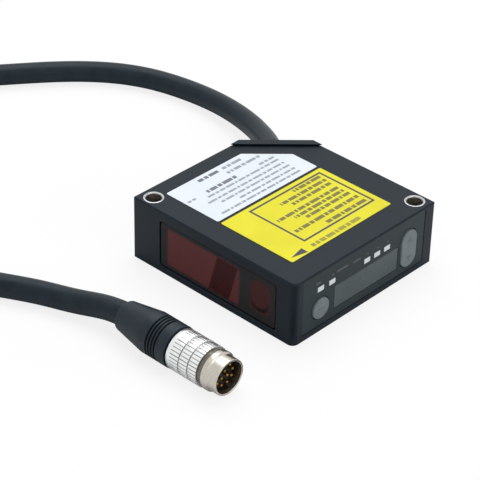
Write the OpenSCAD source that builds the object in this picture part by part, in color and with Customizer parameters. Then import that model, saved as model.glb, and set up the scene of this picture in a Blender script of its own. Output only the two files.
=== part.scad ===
// Laser displacement sensor: a flat moulded head with optics on one edge, a display on the next,
// and a short cable that ends in a round push-pull connector.
// The head lies on its cover plate, the labels face up, and the origin is under the middle of the body.

/* [Housing] */
// Length of the body along the optics face
body_l = 60; // [56:0.5:72]
// Depth of the body behind the optics face
body_w = 57; // [54:0.5:68]
// Height of the body
body_h = 19.7; // [19:0.1:24]
// Thickness of the side walls
wall = 2.2; // [1.9:0.1:2.6]
// Thickness of the roof under the labels
roof_t = 1.8; // [1.2:0.1:2.4]
// Radius of the upright corner between the optics and the display
corner_r = 2; // [1:0.1:2.6]
// Radius of the other square corners
small_corner_r = 0.8; // [0.5:0.1:1.2]
// Width of the bevel along the upper edges
edge_c = 0.4; // [0.2:0.05:0.45]
// Width of the bevel along the lower edges
foot_c = 0.15; // [0.1:0.05:0.4]
// Leg of the cut corner that the cable leaves from
cable_cut = 16; // [15:0.5:18]
// Depth of the raised lip along the cut corner
lip_d = 2.3; // [1.5:0.1:3.5]
// Height of the raised lip
lip_h = 0.7; // [0.6:0.1:1.2]
// Distance of the lip's ends from the ends of the cut corner
lip_end = 0.7; // [0.3:0.1:1.5]
// Depth of the undercut below the lip's front edge
lip_undercut = 0.6; // [0.2:0.1:1]

/* [Mounting] */
// Distance of each mounting hole from the end of the body
hole_inset_x = 4.3; // [4.2:0.1:4.8]
// Distance of each mounting hole from the long side of the body
hole_inset_y = 3.8; // [3.6:0.1:4.4]
// Outer diameter of the metal bushes
bush_d = 5.8; // [5.2:0.1:6.2]
// Bore of the metal bushes, for an M4 screw
bush_bore = 4.5; // [3.4:0.1:4.8]
// Plastic round each bush inside the body
boss_wall = 0.9; // [0.6:0.1:1.2]

/* [Cover] */
// Thickness of the cover plate on the underside
cover_t = 1.2; // [0.8:0.1:1.3]
// Rim of the body left round the cover plate
cover_rim = 1.1; // [0.9:0.1:1.3]
// Gap round the cover plate
cover_gap = 0.1; // [0.05:0.05:0.2]
// Thickness of the gasket on the cover plate
gasket_t = 0.3; // [0.2:0.1:0.5]
// Diameter of the small screws
screw_d = 2; // [1.6:0.1:2.2]
// Head diameter of the small screws
screw_head_d = 3.6; // [3:0.1:3.8]
// Length of the cover screws
cover_screw_l = 7; // [5:0.5:10]
// Diameter of the posts that the cover screws enter
post_d = 4.4; // [3.8:0.1:4.6]

/* [Front window] */
// Distance of the window plate from the left end of the body
window_left = 10.4; // [9.5:0.1:13]
// Distance of the window plate from the right end of the body
window_right = 6.4; // [5:0.1:7]
// Distance of the window plate from the top of the body
window_top = 3; // [2.4:0.1:4]
// Distance of the window plate from the bottom of the body
window_bottom = 2.3; // [2:0.1:3.5]
// Thickness of the window plate
window_t = 1.1; // [0.8:0.1:1.3]
// Depth of the window plate below the front face
window_sink = 0.15; // [0.05:0.05:0.3]
// Gap above and below the window plate
window_gap = 0.2; // [0.1:0.05:0.3]
// Gap at both ends of the window plate
window_end_gap = 0.4; // [0.2:0.05:0.6]
// Thickness of the dark mask behind the window plate
mask_t = 0.3; // [0.2:0.05:0.4]
// Dark margin at both ends of the window plate
mask_end = 3; // [2:0.1:4]
// Dark margin above and below the receiver opening
mask_edge = 1.5; // [1:0.1:2.5]
// Dark rib between the two openings
mask_rib = 3.7; // [2.5:0.1:5]
// Width of the slanted port in the wall behind the receiver opening
port_w = 6.3; // [5:0.1:7]
// Sideways lean of the port from its lower to its upper end
port_lean = 3.6; // [2:0.1:4.5]
// Distance of the port's middle from the right end of the receiver opening
port_end = 7.2; // [6.4:0.1:8]
// Length of the emitter opening
emitter_l = 6.8; // [5.5:0.1:7.5]
// Height of the emitter opening
emitter_h = 9; // [7:0.1:10]
// Corner radius of the emitter opening
emitter_r = 2.6; // [1:0.1:2.7]

/* [Display side] */
// Distance of the display panel from the optics face
panel_front = 3.3; // [2.8:0.1:4]
// Distance of the display panel from the back of the body
panel_back = 4; // [3.4:0.1:5]
// Distance of the display panel from the top of the body
panel_top = 0.5; // [0.5:0.05:1]
// Distance of the display panel from the bottom of the body
panel_bottom = 1.9; // [1.8:0.1:2.4]
// Thickness of the display panel
panel_t = 0.9; // [0.7:0.1:1.1]
// Depth of the display panel below the side face
panel_sink = 0.1; // [0.05:0.05:0.2]
// Gap round the display panel
panel_gap = 0.1; // [0.05:0.05:0.2]
// Ledge that carries the display panel
panel_ledge = 1.2; // [0.8:0.1:1.4]
// Length of the display filter
display_l = 26.1; // [22:0.1:28]
// Height of the display filter
display_h = 7.3; // [5:0.1:8]
// Height of the display filter's centre above the bottom
display_z = 8.2; // [7.5:0.1:9]
// Thickness of the display filter
filter_t = 0.5; // [0.3:0.1:0.6]
// Length of one indicator
led_l = 2.5; // [2:0.1:3]
// Height of one indicator
led_h = 1.6; // [1.2:0.1:2]
// Height of the indicators' centres above the bottom
led_z = 13.8; // [13.5:0.1:14.5]
// Spacing of the indicators in a group
led_pitch = 4.1; // [3.8:0.1:4.5]
// Diameter of the round key
key_d = 6.4; // [5:0.1:7]
// Distance of the round key from the optics face
key_front = 10.4; // [9.5:0.1:11.5]
// Height of the round key's centre above the bottom
key_z = 7.7; // [7.4:0.1:8.4]
// Width of the rocking key
rocker_w = 6.4; // [5:0.1:6.6]
// Height of the rocking key
rocker_h = 11.8; // [10.5:0.1:12.5]
// Distance of the rocking key from the back of the body
rocker_back = 10.7; // [10.5:0.1:12]
// Height of the rocking key's centre above the bottom
rocker_z = 9.5; // [9:0.1:10]
// Height that the keys stand proud of the panel
key_proud = 0.45; // [0.3:0.05:0.8]
// Gap round each key
key_gap = 0.25; // [0.2:0.05:0.4]
// Travel of the round key
key_travel = 0.35; // [0.2:0.05:0.4]
// Diameter of the rocking key's pin
rocker_pin_d = 1; // [0.8:0.1:1.2]

/* [Optics] */
// Turn of the receiver towards the laser beam, in degrees
receiver_turn = 15; // [10:1:18]
// Diameter of the receiver lens
receiver_lens_d = 9; // [8:0.1:9.4]
// Depth of the receiver block
receiver_block_l = 16.5; // [15:0.5:17.5]
// Diameter of the collimator lens
collimator_d = 6; // [5:0.1:6.2]
// Depth of the laser holder
laser_block_l = 14; // [13:0.5:15.5]
// Thickness of the circuit boards
board_t = 1.2; // [0.8:0.1:1.4]

/* [Labels] */
// Thickness of the labels
label_t = 0.12; // [0.08:0.02:0.2]
// Distance of the labels from the optics face
label_front = 7.4; // [6:0.1:9]
// Distance of the labels from the back of the body
label_back = 9.6; // [9:0.1:12]
// Distance of the white label from the left end of the body
label_left = 5.5; // [5:0.1:7]
// Distance of the yellow label from the right end of the body
label_right = 7.8; // [6:0.1:10]
// Width of the white label
white_w = 19.7; // [18:0.1:21]
// Bare strip between the two labels
label_strip = 1; // [0.6:0.1:2]
// Leg of the white label's cut corner
label_cut = 10.4; // [9:0.1:12]

/* [Cable] */
// Diameter of the cable
cable_d = 6.7; // [6:0.1:6.8]
// Gap between the cable and what it passes through
cable_gap = 0.05; // [0.05:0.05:0.15]
// Height of the cable's exit above the bottom
exit_z = 9; // [9:0.1:9.6]
// Length of the gland outside the body
gland_l = 6; // [4:0.5:6.5]

/* [Connector] */
// Outer diameter of the connector's rim
rim_d = 10.3; // [10:0.1:10.6]
// Length of the connector's rim
rim_l = 3; // [2.4:0.1:3.4]
// Inner diameter of the connector's socket
socket_d = 9.2; // [8.8:0.1:9.4]
// Diameter of the smooth barrel behind the rim
barrel_d = 11.3; // [10.9:0.1:11.6]
// Length of the smooth barrel
barrel_l = 1.9; // [1.6:0.1:2.6]
// Diameter of the core that the sleeve slides on
core_d = 8.8; // [8.6:0.1:9.2]
// Wall of the core
core_wall = 0.7; // [0.5:0.1:0.8]
// Diameter of the pull sleeve
sleeve_d = 11.7; // [11.2:0.1:12]
// Length of the pull sleeve
sleeve_l = 10.8; // [10:0.1:12]
// Width of the groove between the barrel and the pull sleeve
sleeve_front_gap = 1.4; // [0.8:0.1:1.8]
// Diameter of the collar in that groove
collar_d = 10.7; // [10:0.1:10.8]
// Smooth ring at the rear of the pull sleeve
sleeve_ring = 1.4; // [1.2:0.1:2.2]
// Ridges round the pull sleeve
knurl_n = 36; // [30:1:52]
// Depth of the ridges
knurl_depth = 0.35; // [0.2:0.05:0.45]
// Travel of the pull sleeve
sleeve_travel = 0.5; // [0.4:0.1:1.2]
// Diameter of the cable boot
boot_d = 12; // [11.8:0.1:12]
// Length of the cable boot
boot_l = 20; // [19:0.1:21]
// Diameter of the boot where the cable enters it
boot_tail_d = 8.8; // [8.2:0.1:9.6]
// Diameter of the contact pins
pin_d = 0.9; // [0.7:0.05:1]

/* [Hidden] */
$fn = 48;
root2 = sqrt(2);
// A cut reaches this far past the face that it opens
cut = 1;

// Faces of the body
left_x = -body_l / 2;
right_x = body_l / 2;
front_y = -body_w / 2;
back_y = body_w / 2;
roof_z = body_h - roof_t;
floor_z = cover_t + gasket_t;

// Mounting holes at two opposite corners
hole_pts = [
    [left_x + hole_inset_x, front_y + hole_inset_y],
    [right_x - hole_inset_x, back_y - hole_inset_y]
];
boss_r = bush_d / 2 + boss_wall;

// Corner points of the body's outline, moved inwards by d
function cut_line(d) = back_y - left_x - cable_cut - d * root2;
function outline_points(d) = [
    [left_x + d, front_y + d],
    [right_x - d, front_y + d],
    [right_x - d, back_y - d],
    [back_y - d - cut_line(d), back_y - d],
    [left_x + d, left_x + d + cut_line(d)]
];
outline_edges = outline_points(0);
edge_n = len(outline_edges);
// The edge along the cut corner carries the lip
lip_edge = 3;
// Thickness of the lip's front edge above the undercut
lip_rim_t = 0.3;

// Cover screws
post_wall_gap = 0.2;
post_r = post_d / 2;
cover_ledge = cover_rim + cover_gap;
screw_gap = 0.02;
screw_head_l = 0.8;
screw_hole_d = screw_d + 2 * screw_gap;
// Depth of a screw hole past the tip of its screw
screw_room = 1;
post_inset = wall + post_wall_gap + post_r;
post_pts = [
    [right_x - post_inset, front_y + post_inset],
    [left_x + hole_inset_x + boss_r + post_r + post_wall_gap, front_y + post_inset],
    [left_x + post_inset, left_x + post_inset + cut_line(wall) - post_d],
    [back_y - post_inset - cut_line(wall) + post_d, back_y - post_inset]
];

// Front window
window_l = body_l - window_left - window_right;
window_h = body_h - window_top - window_bottom;
window_x = (window_left - window_right) / 2;
window_z = window_bottom + window_h / 2;
window_corner = 0.8;
window_pocket = window_sink + window_t + mask_t;
emitter_x = right_x - window_right - mask_end - emitter_l / 2;
receiver_l = window_l - 2 * mask_end - mask_rib - emitter_l;
receiver_h = window_h - 2 * mask_edge;
receiver_x = left_x + window_left + mask_end + receiver_l / 2;
receiver_corner = 0.6;
// The wall's openings are higher and wider than the mask's by this much
opening_relief = 0.4;
port_x = receiver_x + receiver_l / 2 - port_end;
port_h = receiver_h + 2 * opening_relief;

// Display panel
panel_l = body_w - panel_front - panel_back;
panel_y = (panel_front - panel_back) / 2;
panel_h = body_h - panel_top - panel_bottom;
panel_z = panel_bottom + panel_h / 2;
panel_face_x = right_x - panel_sink;
panel_back_x = panel_face_x - panel_t;
panel_corner = 0.5;
filter_gap = 0.08;
filter_ledge = 0.8;
digit_gap = 0.2;
digit_margin = filter_ledge + digit_gap;
display_shift = 0.8;
display_y = panel_y + display_shift;
led_gap = 0.08;
led_flange = 0.4;
led_flange_t = 0.5;
led_sink = 0.04;
led_extra = 0.4;
led_chip_l = 1.5;
led_chip_h = 1;
led_chip_t = 0.7;
key_y = front_y + key_front;
rocker_y = back_y - rocker_back;
// Two indicators stand over the round key and three over the display
led_ys = [
    key_y,
    key_y + led_pitch + led_extra,
    display_y,
    display_y + led_pitch,
    display_y + 2 * led_pitch
];

// Opening in the side wall behind the panel
side_y0 = front_y + panel_front + panel_ledge;
side_room = 0.4;
side_y1 = rocker_y + rocker_w / 2 + key_gap + side_room;
side_z0 = panel_bottom + panel_ledge;
side_z1 = body_h - panel_top - panel_ledge;

// Keys and what stands behind them
key_flange = 0.7;
key_flange_t = 0.7;
key_clear = 0.1;
key_flange_x = panel_back_x - key_clear - key_flange_t;
key_dome = 0.15;
key_top_x = panel_face_x + key_proud;
switch_d = 1.8;
switch_w = 4;
switch_h = 3;
switch_t = 1.2;
switch_clear = 0.05;
switch_tip_x = key_flange_x - key_travel - switch_clear;
display_depth = 3.2;
display_board_x = panel_back_x - display_depth;
display_board_y0 = key_y - key_d / 2;
display_board_end = 0.8;
display_board_y1 = rocker_y + rocker_w / 2 - display_board_end;
display_board_z0 = 3;
rocker_skirt = 0.8;
rocker_back_x = panel_back_x - rocker_skirt;
rocker_pin_depth = 0.8;
rocker_pin_x = rocker_back_x - rocker_pin_depth;
rocker_pin_gap = 0.05;
rocker_lug_w = 2.4;
rocker_lug_r = 0.9;
switch_margin = 0.3;
rocker_reach = rocker_h / 2 - switch_h / 2 - switch_margin;
rocker_turn = 2.5;
rocker_tip_x = rocker_back_x - rocker_reach * tan(rocker_turn) - 2 * switch_clear;
bracket_w = 4.6;
bracket_wall = 0.9;
bracket_base = 0.5;
bracket_r = 1.1;
bracket_ear_r = 0.8;

// Optics behind the front wall
optic_z = window_z;
base_t = 1.6;
base_z = roof_z - base_t;
optics_gap = 0.4;
optics_front_y = front_y + wall + optics_gap;
laser_block_w = 8.6;
lens_gap = 0.05;
retainer_t = 0.8;
retainer_bore = 0.8;
collimator_edge = 1.2;
collimator_crown = 0.9;
collimator_seat = retainer_t + collimator_edge + collimator_crown;
collimator_y = optics_front_y + retainer_t;
diode_flange_d = 5.6;
diode_flange_t = 1.2;
diode_cap_d = 4.6;
diode_cap_l = 2.6;
diode_lead_d = 0.5;
diode_lead_l = 1.6;
diode_lead_pcr = 1.2;
diode_y = optics_front_y + laser_block_l - diode_flange_t;
receiver_block_w = 12;
receiver_bottom = 1.2;
receiver_lens_edge = 1.6;
receiver_lens_crown = 1.1;
receiver_seat = retainer_t + receiver_lens_edge + receiver_lens_crown;
receiver_front_y = optics_front_y + receiver_block_w / 2 * sin(receiver_turn);
sensor_l = 6.4;
sensor_h = 3.6;
sensor_t = 1.1;
sensor_board_w = 12.6;
optics_back_y = receiver_front_y + (receiver_block_l + board_t) * cos(receiver_turn);

// Main board on posts under the roof
board_post_l = 2.2;
board_post_d = 4.2;
main_board_z = roof_z - board_post_l - board_t;
main_front_gap = 4;
main_back_gap = 5.4;
main_left_gap = 7;
main_right_gap = 2.4;
main_board_y0 = optics_back_y + main_front_gap;
main_board_y1 = back_y - wall - main_back_gap;
main_board_x0 = left_x + wall + main_left_gap;
main_board_x1 = display_board_x - board_t - main_right_gap;
board_screw_l = 3.2;
board_screw_inset = 3;
board_posts = [
    [main_board_x1 - board_screw_inset, main_board_y0 + board_screw_inset],
    [main_board_x1 - board_screw_inset, main_board_y1 - board_screw_inset],
    [main_board_x0 + board_screw_inset, main_board_y0 + board_screw_inset]
];
board_gap = 0.8;
chip_t = 1.2;
// Place from the middle of the board and size of the processor, memory and regulator
chips = [[2, -4, 9, 9], [-8, -5, 5, 4], [-8, 1, 6, 5]];
flex_t = 0.2;
flex_w = 8;
flex_lap = 1;
flex_drop = 6;

// Cable exit, square to the cut corner
exit_x = (left_x + back_y - cut_line(0)) / 2;
exit_y = (back_y + left_x + cut_line(0)) / 2;
exit_turn = 135;
cable_r = cable_d / 2;
cable_bore_r = cable_r + cable_gap;
gland_neck = 1.4;
gland_neck_r = cable_bore_r + gland_neck;
gland_flange = 0.8;
gland_flange_t = 1.2;
gland_tail = 0.9;
crimp_l = 3;
crimp_wall = 1.2;
// The main board ends this far from the walls, clear of the crimp ring
board_cut = wall + gland_flange_t + crimp_l + board_gap;

// Connector, along x with its rim at the far end
plug_x = 32.2;
plug_y = -54.9;
plug_z = boot_d / 2;
sleeve_rear_gap = sleeve_travel + 0.05;
sleeve_gap = 0.1;
barrel_end = rim_l + barrel_l;
sleeve_start = barrel_end + sleeve_front_gap;
collar_end = sleeve_start - sleeve_gap;
sleeve_end = sleeve_start + sleeve_l;
boot_start = sleeve_end + sleeve_rear_gap;
boot_end = boot_start + boot_l;
core_grip = 6.4;
core_end = boot_start + core_grip;
core_bore_r = core_d / 2 - core_wall;
// The insert's head fills the end of the socket and its stem fills the core
shell_floor = 1.2;
insert_head_t = 0.6;
socket_end = barrel_end - shell_floor;
insert_front = socket_end - insert_head_t;
insert_end = 9.6;
insert_gap = 0.02;
knurl_rows = 3;
knurl_groove = 0.3;
knurl_front = 0.1;
// Crests stand this far below the ring, and feet this far below the valleys
knurl_sink = 0.05;
// Foot and crest of a ridge, as shares of its pitch
knurl_tooth = [0, 0.1, 0.7, 0.8];
knurl_l = (sleeve_l - sleeve_ring - knurl_front - (knurl_rows - 1) * knurl_groove) / knurl_rows;
boot_body = 9.4;
boot_groove_n = 4;
boot_groove_w = 0.5;
boot_groove_pitch = 1;
boot_groove_depth = 0.5;
boot_groove_start = 3.3;
boot_round = 0.9;
pin_front = 1.4;
pin_tail = 2.2;
pin_wall = 0.3;
pin_ring_n = 9;
pin_ring_r = core_bore_r - pin_wall - pin_d / 2;
pin_core_n = 3;
pin_core_r = 1.2;

// Points that the cable follows, from inside the gland to inside the boot
cable_route = [
    [-16, 14.5, 9], [-22, 20.5, 9], [-27, 25.5, 9], [-33, 30.7, 8.3],
    [-40.5, 35.5, 7], [-48.5, 39.4, 5.8], [-57, 42.2, 4.9], [-69.5, 44.3, 3.9],
    [-82, 43.8, 3.4], [-93, 41.1, 3.4], [-103, 36.3, 3.4], [-117.5, 23.5, 3.4],
    [-129.5, 8.2, 3.4], [-139.5, -4.5, 3.4], [-150, -18, 3.4], [-160.5, -31.5, 3.4],
    [-171, -45, 3.4], [-179.5, -59, 3.4], [-185, -74, 3.4], [-186.5, -90, 3.4],
    [-183, -105.5, 3.4], [-174.5, -118.5, 3.4], [-162, -127, 3.4], [-147.5, -130.5, 3.4],
    [-133, -128.5, 3.4], [-120.5, -122, 3.4], [-108.5, -113.5, 3.4], [-96, -103.5, 3.4],
    [-83, -92.8, 3.4], [-69.5, -83, 3.4], [-55.5, -74.2, 3.4], [-42, -67, 3.4],
    [-31.5, -61.7, 3.5], [-20.5, -57.7, 4], [-12.5, -55.5, 5.2], [-6, -54.9, 6],
    [6, -54.9, 6]
];
cable_sides = 12;

// Rectangle with round corners, centred
module round_rect(l, h, r) {
    square([l - 2 * r, h], center = true);
    square([l, h - 2 * r], center = true);
    for (x = [-1, 1], y = [-1, 1])
        translate([x * (l / 2 - r), y * (h / 2 - r)]) circle(r);
}

// Upright slot shape with half-round ends, centred
module slot_shape(w, h) {
    square([w, h - w], center = true);
    for (y = [-1, 1])
        translate([0, y * (h - w) / 2]) circle(d = w);
}

// Stands a flat shape in the plane of the optics face, with its thickness running inwards
module on_front(x, y, z, t) {
    translate([x, y + t, z]) rotate([90, 0, 0]) linear_extrude(t) children();
}

// Stands a flat shape in the plane of the display face, with its thickness running outwards
module on_side(x, y, z, t) {
    translate([x, y, z]) rotate([90, 0, 90]) linear_extrude(t) children();
}

// Turns an upright solid to run inwards from the optics face
module into_front(x, y, z) {
    translate([x, y, z]) rotate([-90, 0, 0]) children();
}

// Places the receiver's parts along its turned axis
module along_receiver() {
    translate([port_x, receiver_front_y, 0]) rotate([0, 0, receiver_turn]) children();
}

// Turns an upright solid to point out of the cut corner
module out_of_exit() {
    translate([exit_x, exit_y, exit_z]) rotate([0, 0, exit_turn]) rotate([0, 90, 0]) children();
}

// Turns an upright solid to run back along the connector from its rim
module behind_rim() {
    translate([plug_x, plug_y, plug_z]) rotate([0, -90, 0]) children();
}

// Wedge that takes the corner off one upper edge of the body
module edge_bevel(p, q, z, c) {
    d = q - p;
    translate([p.x, p.y, z]) rotate([0, 0, atan2(d.y, d.x)]) rotate([90, 0, 90])
        translate([0, 0, -cut]) linear_extrude(norm(d) + 2 * cut)
            polygon([[-cut, -c - cut], [c + cut, cut], [-cut, cut]]);
}

// Ring segment that carries the bevel round the large upright corner
module corner_bevel(z, c) {
    r = corner_r;
    translate([right_x - r, front_y + r, z]) intersection() {
        rotate_extrude()
            polygon([[r - c - cut, cut], [r + cut, cut], [r + cut, -c - cut]]);
        translate([0, -2 * r - cut, -2 * cut]) cube([2 * r + cut, 2 * r + cut, 4 * cut]);
    }
}

// Takes a square corner of the outline down to a round one
module corner_cut(x, y, r) {
    translate([x, y]) difference() {
        square(2 * r, center = true);
        translate([-sign(x) * r, -sign(y) * r]) circle(r);
    }
}

module body_outline() {
    difference() {
        polygon(outline_points(0));
        corner_cut(right_x, front_y, corner_r);
        corner_cut(left_x, front_y, small_corner_r);
        corner_cut(right_x, back_y, small_corner_r);
    }
}

// Bevels all round the upper or the lower edge
module outline_bevel(z, c) {
    for (i = [0 : edge_n - 1])
        edge_bevel(outline_edges[i], outline_edges[(i + 1) % edge_n], z, c);
    corner_bevel(z, c);
}

// Strip along the cut corner, as deep as asked, with its ends in line with the sides of the body
module lip_strip(depth) {
    a = outline_edges[lip_edge];
    b = outline_edges[lip_edge + 1];
    e = lip_end * (b - a) / norm(b - a);
    polygon([a + e, b - e, b - e - [0, depth * root2], a + e + [depth * root2, 0]]);
}

// Outer block with bevelled edges and the undercut lip over the cable exit
module body_block() {
    difference() {
        linear_extrude(body_h) body_outline();
        outline_bevel(body_h, edge_c);
        mirror([0, 0, 1]) outline_bevel(0, foot_c);
    }
    translate([0, 0, body_h - edge_c - cut]) linear_extrude(lip_h + edge_c + cut)
        lip_strip(lip_d - lip_undercut);
    translate([0, 0, body_h + lip_h - lip_rim_t]) linear_extrude(lip_rim_t) lip_strip(lip_d);
}

// Columns that hold the bushes, filled out to the corners of the body
module bosses() {
    for (p = hole_pts) translate([p.x, p.y, -cut]) {
        cylinder(r = boss_r, h = roof_z + 2 * cut);
        rotate([0, 0, p.x < 0 ? 180 : 0]) cube([hole_inset_x, hole_inset_y, roof_z + 2 * cut]);
    }
}

// Outline of a bush column where it passes the cover plate, squared off to both sides
module boss_foot(extra) {
    r = boss_r + extra;
    for (p = hole_pts) translate(p) rotate(p.x < 0 ? 180 : 0) {
        circle(r);
        translate([-r, 0]) square([r + hole_inset_x, hole_inset_y]);
        translate([0, -r]) square([hole_inset_x, r + hole_inset_y]);
    }
}

// Outline of the cover plate, kept clear of the columns
module cover_shape(inset, clear) {
    difference() {
        polygon(outline_points(inset));
        boss_foot(clear);
    }
}

module posts() {
    for (p = post_pts)
        translate([p.x, p.y, floor_z]) cylinder(r = post_r, h = roof_z - floor_z + cut);
    for (p = board_posts)
        translate([p.x, p.y, roof_z - board_post_l]) cylinder(d = board_post_d, h = board_post_l + cut);
}

module inside() {
    difference() {
        union() {
            translate([0, 0, -cut]) linear_extrude(roof_z + cut) polygon(outline_points(wall));
            translate([0, 0, -cut]) linear_extrude(floor_z + cut) polygon(outline_points(cover_rim));
        }
        bosses();
        translate([0, 0, -cut]) linear_extrude(floor_z + cut) boss_foot(0);
        posts();
    }
}

module window_pocket_shape() {
    round_rect(window_l, window_h, window_corner);
}

module window_plate_shape() {
    round_rect(window_l - 2 * window_end_gap, window_h - 2 * window_gap, window_corner);
}

module emitter_shape(extra) {
    round_rect(emitter_l + 2 * extra, emitter_h + 2 * extra, emitter_r + extra);
}

module receiver_shape() {
    round_rect(receiver_l, receiver_h, receiver_corner);
}

// Leaning slot that the receiver looks through
module port_shape() {
    polygon([for (s = [-1, 1], t = [-s, s]) [s * port_lean / 2 + t * port_w / 2, s * port_h / 2]]);
}

module housing() {
    color([0.2, 0.22, 0.24]) difference() {
        body_block();
        inside();
        for (p = hole_pts)
            translate([p.x, p.y, -cut]) cylinder(d = bush_d, h = body_h + 2 * cut);
        for (p = post_pts)
            translate([p.x, p.y, 0]) cylinder(d = screw_hole_d, h = cover_screw_l + screw_room);
        for (p = board_posts)
            translate([p.x, p.y, main_board_z]) cylinder(d = screw_hole_d, h = board_screw_l + screw_room);
        on_front(window_x, front_y - cut, window_z, window_pocket + cut) window_pocket_shape();
        on_front(emitter_x, front_y, window_z, wall + cut) emitter_shape(opening_relief);
        on_front(port_x, front_y, window_z, wall + cut) port_shape();
        on_side(panel_back_x, panel_y, panel_z, right_x - panel_back_x + cut)
            round_rect(panel_l, panel_h, panel_corner);
        on_side(right_x - wall - cut, 0, 0, wall + cut)
            translate([side_y0, side_z0]) square([side_y1 - side_y0, side_z1 - side_z0]);
        out_of_exit() translate([0, 0, -wall - cut]) cylinder(r = gland_neck_r, h = wall + 2 * cut);
    }
}

// Cover plate on the underside
module cover() {
    color([0.18, 0.2, 0.22]) difference() {
        linear_extrude(cover_t) cover_shape(cover_ledge, cover_gap);
        for (p = post_pts)
            translate([p.x, p.y, -cut]) cylinder(d = screw_hole_d, h = cover_t + 2 * cut);
        for (p = post_pts)
            translate([p.x, p.y, 0]) screw_head(screw_gap);
    }
}

// Thin ring between the cover plate and the ledge in the body
module cover_gasket() {
    color([0.1, 0.1, 0.1]) translate([0, 0, cover_t]) linear_extrude(gasket_t) difference() {
        cover_shape(cover_ledge, cover_gap);
        cover_shape(wall, cover_gap + wall - cover_ledge);
    }
}

// Countersunk head with its flat face at the underside
module screw_head(extra) {
    translate([0, 0, -extra]) cylinder(d1 = screw_head_d + 2 * extra, d2 = screw_d, h = screw_head_l + extra);
}

module cover_screws() {
    color([0.55, 0.56, 0.58]) for (p = post_pts) translate([p.x, p.y, 0]) {
        screw_head(0);
        cylinder(d = screw_d, h = cover_screw_l);
    }
}

module mounting_bushes() {
    color([0.78, 0.78, 0.8]) for (p = hole_pts) translate([p.x, p.y, 0]) difference() {
        cylinder(d = bush_d, h = body_h);
        translate([0, 0, -cut]) cylinder(d = bush_bore, h = body_h + 2 * cut);
    }
}

// Red acrylic plate over both openings
module front_window() {
    color([0.32, 0.08, 0.09]) on_front(window_x, front_y + window_sink, window_z, window_t)
        window_plate_shape();
}

module window_mask() {
    color([0.05, 0.05, 0.05]) on_front(window_x, front_y + window_sink + window_t, window_z, mask_t)
        difference() {
            window_plate_shape();
            translate([emitter_x - window_x, 0]) emitter_shape(0);
            translate([receiver_x - window_x, 0]) receiver_shape();
        }
}

// Cast plate under the roof that carries the laser and the receiver
module optical_base() {
    x0 = port_x - receiver_block_w;
    x1 = emitter_x + laser_block_w / 2;
    color([0.6, 0.61, 0.63]) translate([x0, optics_front_y, base_z])
        cube([x1 - x0, optics_back_y - optics_front_y, base_t]);
}

module laser_holder() {
    tube_z = optic_z;
    color([0.5, 0.51, 0.53]) difference() {
        translate([emitter_x - laser_block_w / 2, optics_front_y, tube_z - laser_block_w / 2])
            cube([laser_block_w, laser_block_l, base_z - tube_z + laser_block_w / 2]);
        into_front(emitter_x, optics_front_y - cut, tube_z) {
            cylinder(d = collimator_d + 2 * lens_gap, h = cut + collimator_seat);
            cylinder(d = diode_cap_d + 2 * lens_gap, h = laser_block_l + 2 * cut);
            translate([0, 0, cut + laser_block_l - diode_flange_t])
                cylinder(d = diode_flange_d + 2 * lens_gap, h = diode_flange_t + cut);
        }
    }
}

// Can of the laser diode with its flange and three leads
module laser_diode() {
    color([0.75, 0.66, 0.4]) into_front(emitter_x, diode_y, optic_z) {
        translate([0, 0, -diode_cap_l]) cylinder(d = diode_cap_d, h = diode_cap_l + diode_flange_t);
        cylinder(d = diode_flange_d, h = diode_flange_t);
        for (a = [0 : 120 : 240]) rotate([0, 0, a])
            translate([diode_lead_pcr, 0, 0]) cylinder(d = diode_lead_d, h = diode_flange_t + diode_lead_l);
    }
}

// Lens with a flat rim and a crown on its outer side
module lens_solid(d, edge, crown) {
    r = (d * d / 4 + crown * crown) / (2 * crown);
    cylinder(d = d, h = edge);
    translate([0, 0, edge]) intersection() {
        translate([0, 0, crown - r]) sphere(r);
        cylinder(d = d, h = crown);
    }
}

module collimator_lens() {
    color([0.75, 0.85, 0.9]) into_front(emitter_x, collimator_y, optic_z)
        lens_solid(collimator_d, collimator_edge, collimator_crown);
}

// Ring that holds a lens in its bore
module lens_ring(d) {
    difference() {
        cylinder(d = d, h = retainer_t);
        translate([0, 0, -cut]) cylinder(d = d - 2 * retainer_bore, h = retainer_t + 2 * cut);
    }
}

module collimator_retainer() {
    color([0.2, 0.2, 0.21]) into_front(emitter_x, optics_front_y, optic_z) lens_ring(collimator_d);
}

// Small driver board on the laser's leads
module laser_board() {
    y = diode_y + diode_flange_t + diode_lead_l;
    color([0.1, 0.35, 0.2]) translate([emitter_x - laser_block_w / 2, y, optic_z - laser_block_w / 2])
        cube([laser_block_w, board_t, laser_block_w]);
}

module receiver_block() {
    half = receiver_block_w / 2;
    z0 = optic_z - receiver_lens_d / 2 - receiver_bottom;
    color([0.09, 0.09, 0.1]) along_receiver() difference() {
        translate([-half, 0, z0]) cube([receiver_block_w, receiver_block_l, base_z - z0]);
        into_front(0, -cut, optic_z) {
            cylinder(d = receiver_lens_d + 2 * lens_gap, h = cut + receiver_seat);
            cylinder(d = receiver_lens_d - 2 * retainer_bore, h = receiver_block_l + 2 * cut);
        }
    }
}

module receiver_lens() {
    color([0.75, 0.85, 0.9]) along_receiver() into_front(0, retainer_t, optic_z)
        lens_solid(receiver_lens_d, receiver_lens_edge, receiver_lens_crown);
}

module receiver_retainer() {
    color([0.2, 0.2, 0.21]) along_receiver() into_front(0, 0, optic_z) lens_ring(receiver_lens_d);
}

module image_sensor() {
    color([0.15, 0.15, 0.17]) along_receiver()
        translate([-sensor_l / 2, receiver_block_l - sensor_t, optic_z - sensor_h / 2])
            cube([sensor_l, sensor_t, sensor_h]);
}

module sensor_board() {
    color([0.1, 0.35, 0.2]) along_receiver()
        translate([-sensor_board_w / 2, receiver_block_l, optic_z - receiver_lens_d / 2 - receiver_bottom])
            cube([sensor_board_w, board_t, receiver_lens_d + 2 * receiver_bottom]);
}

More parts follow.
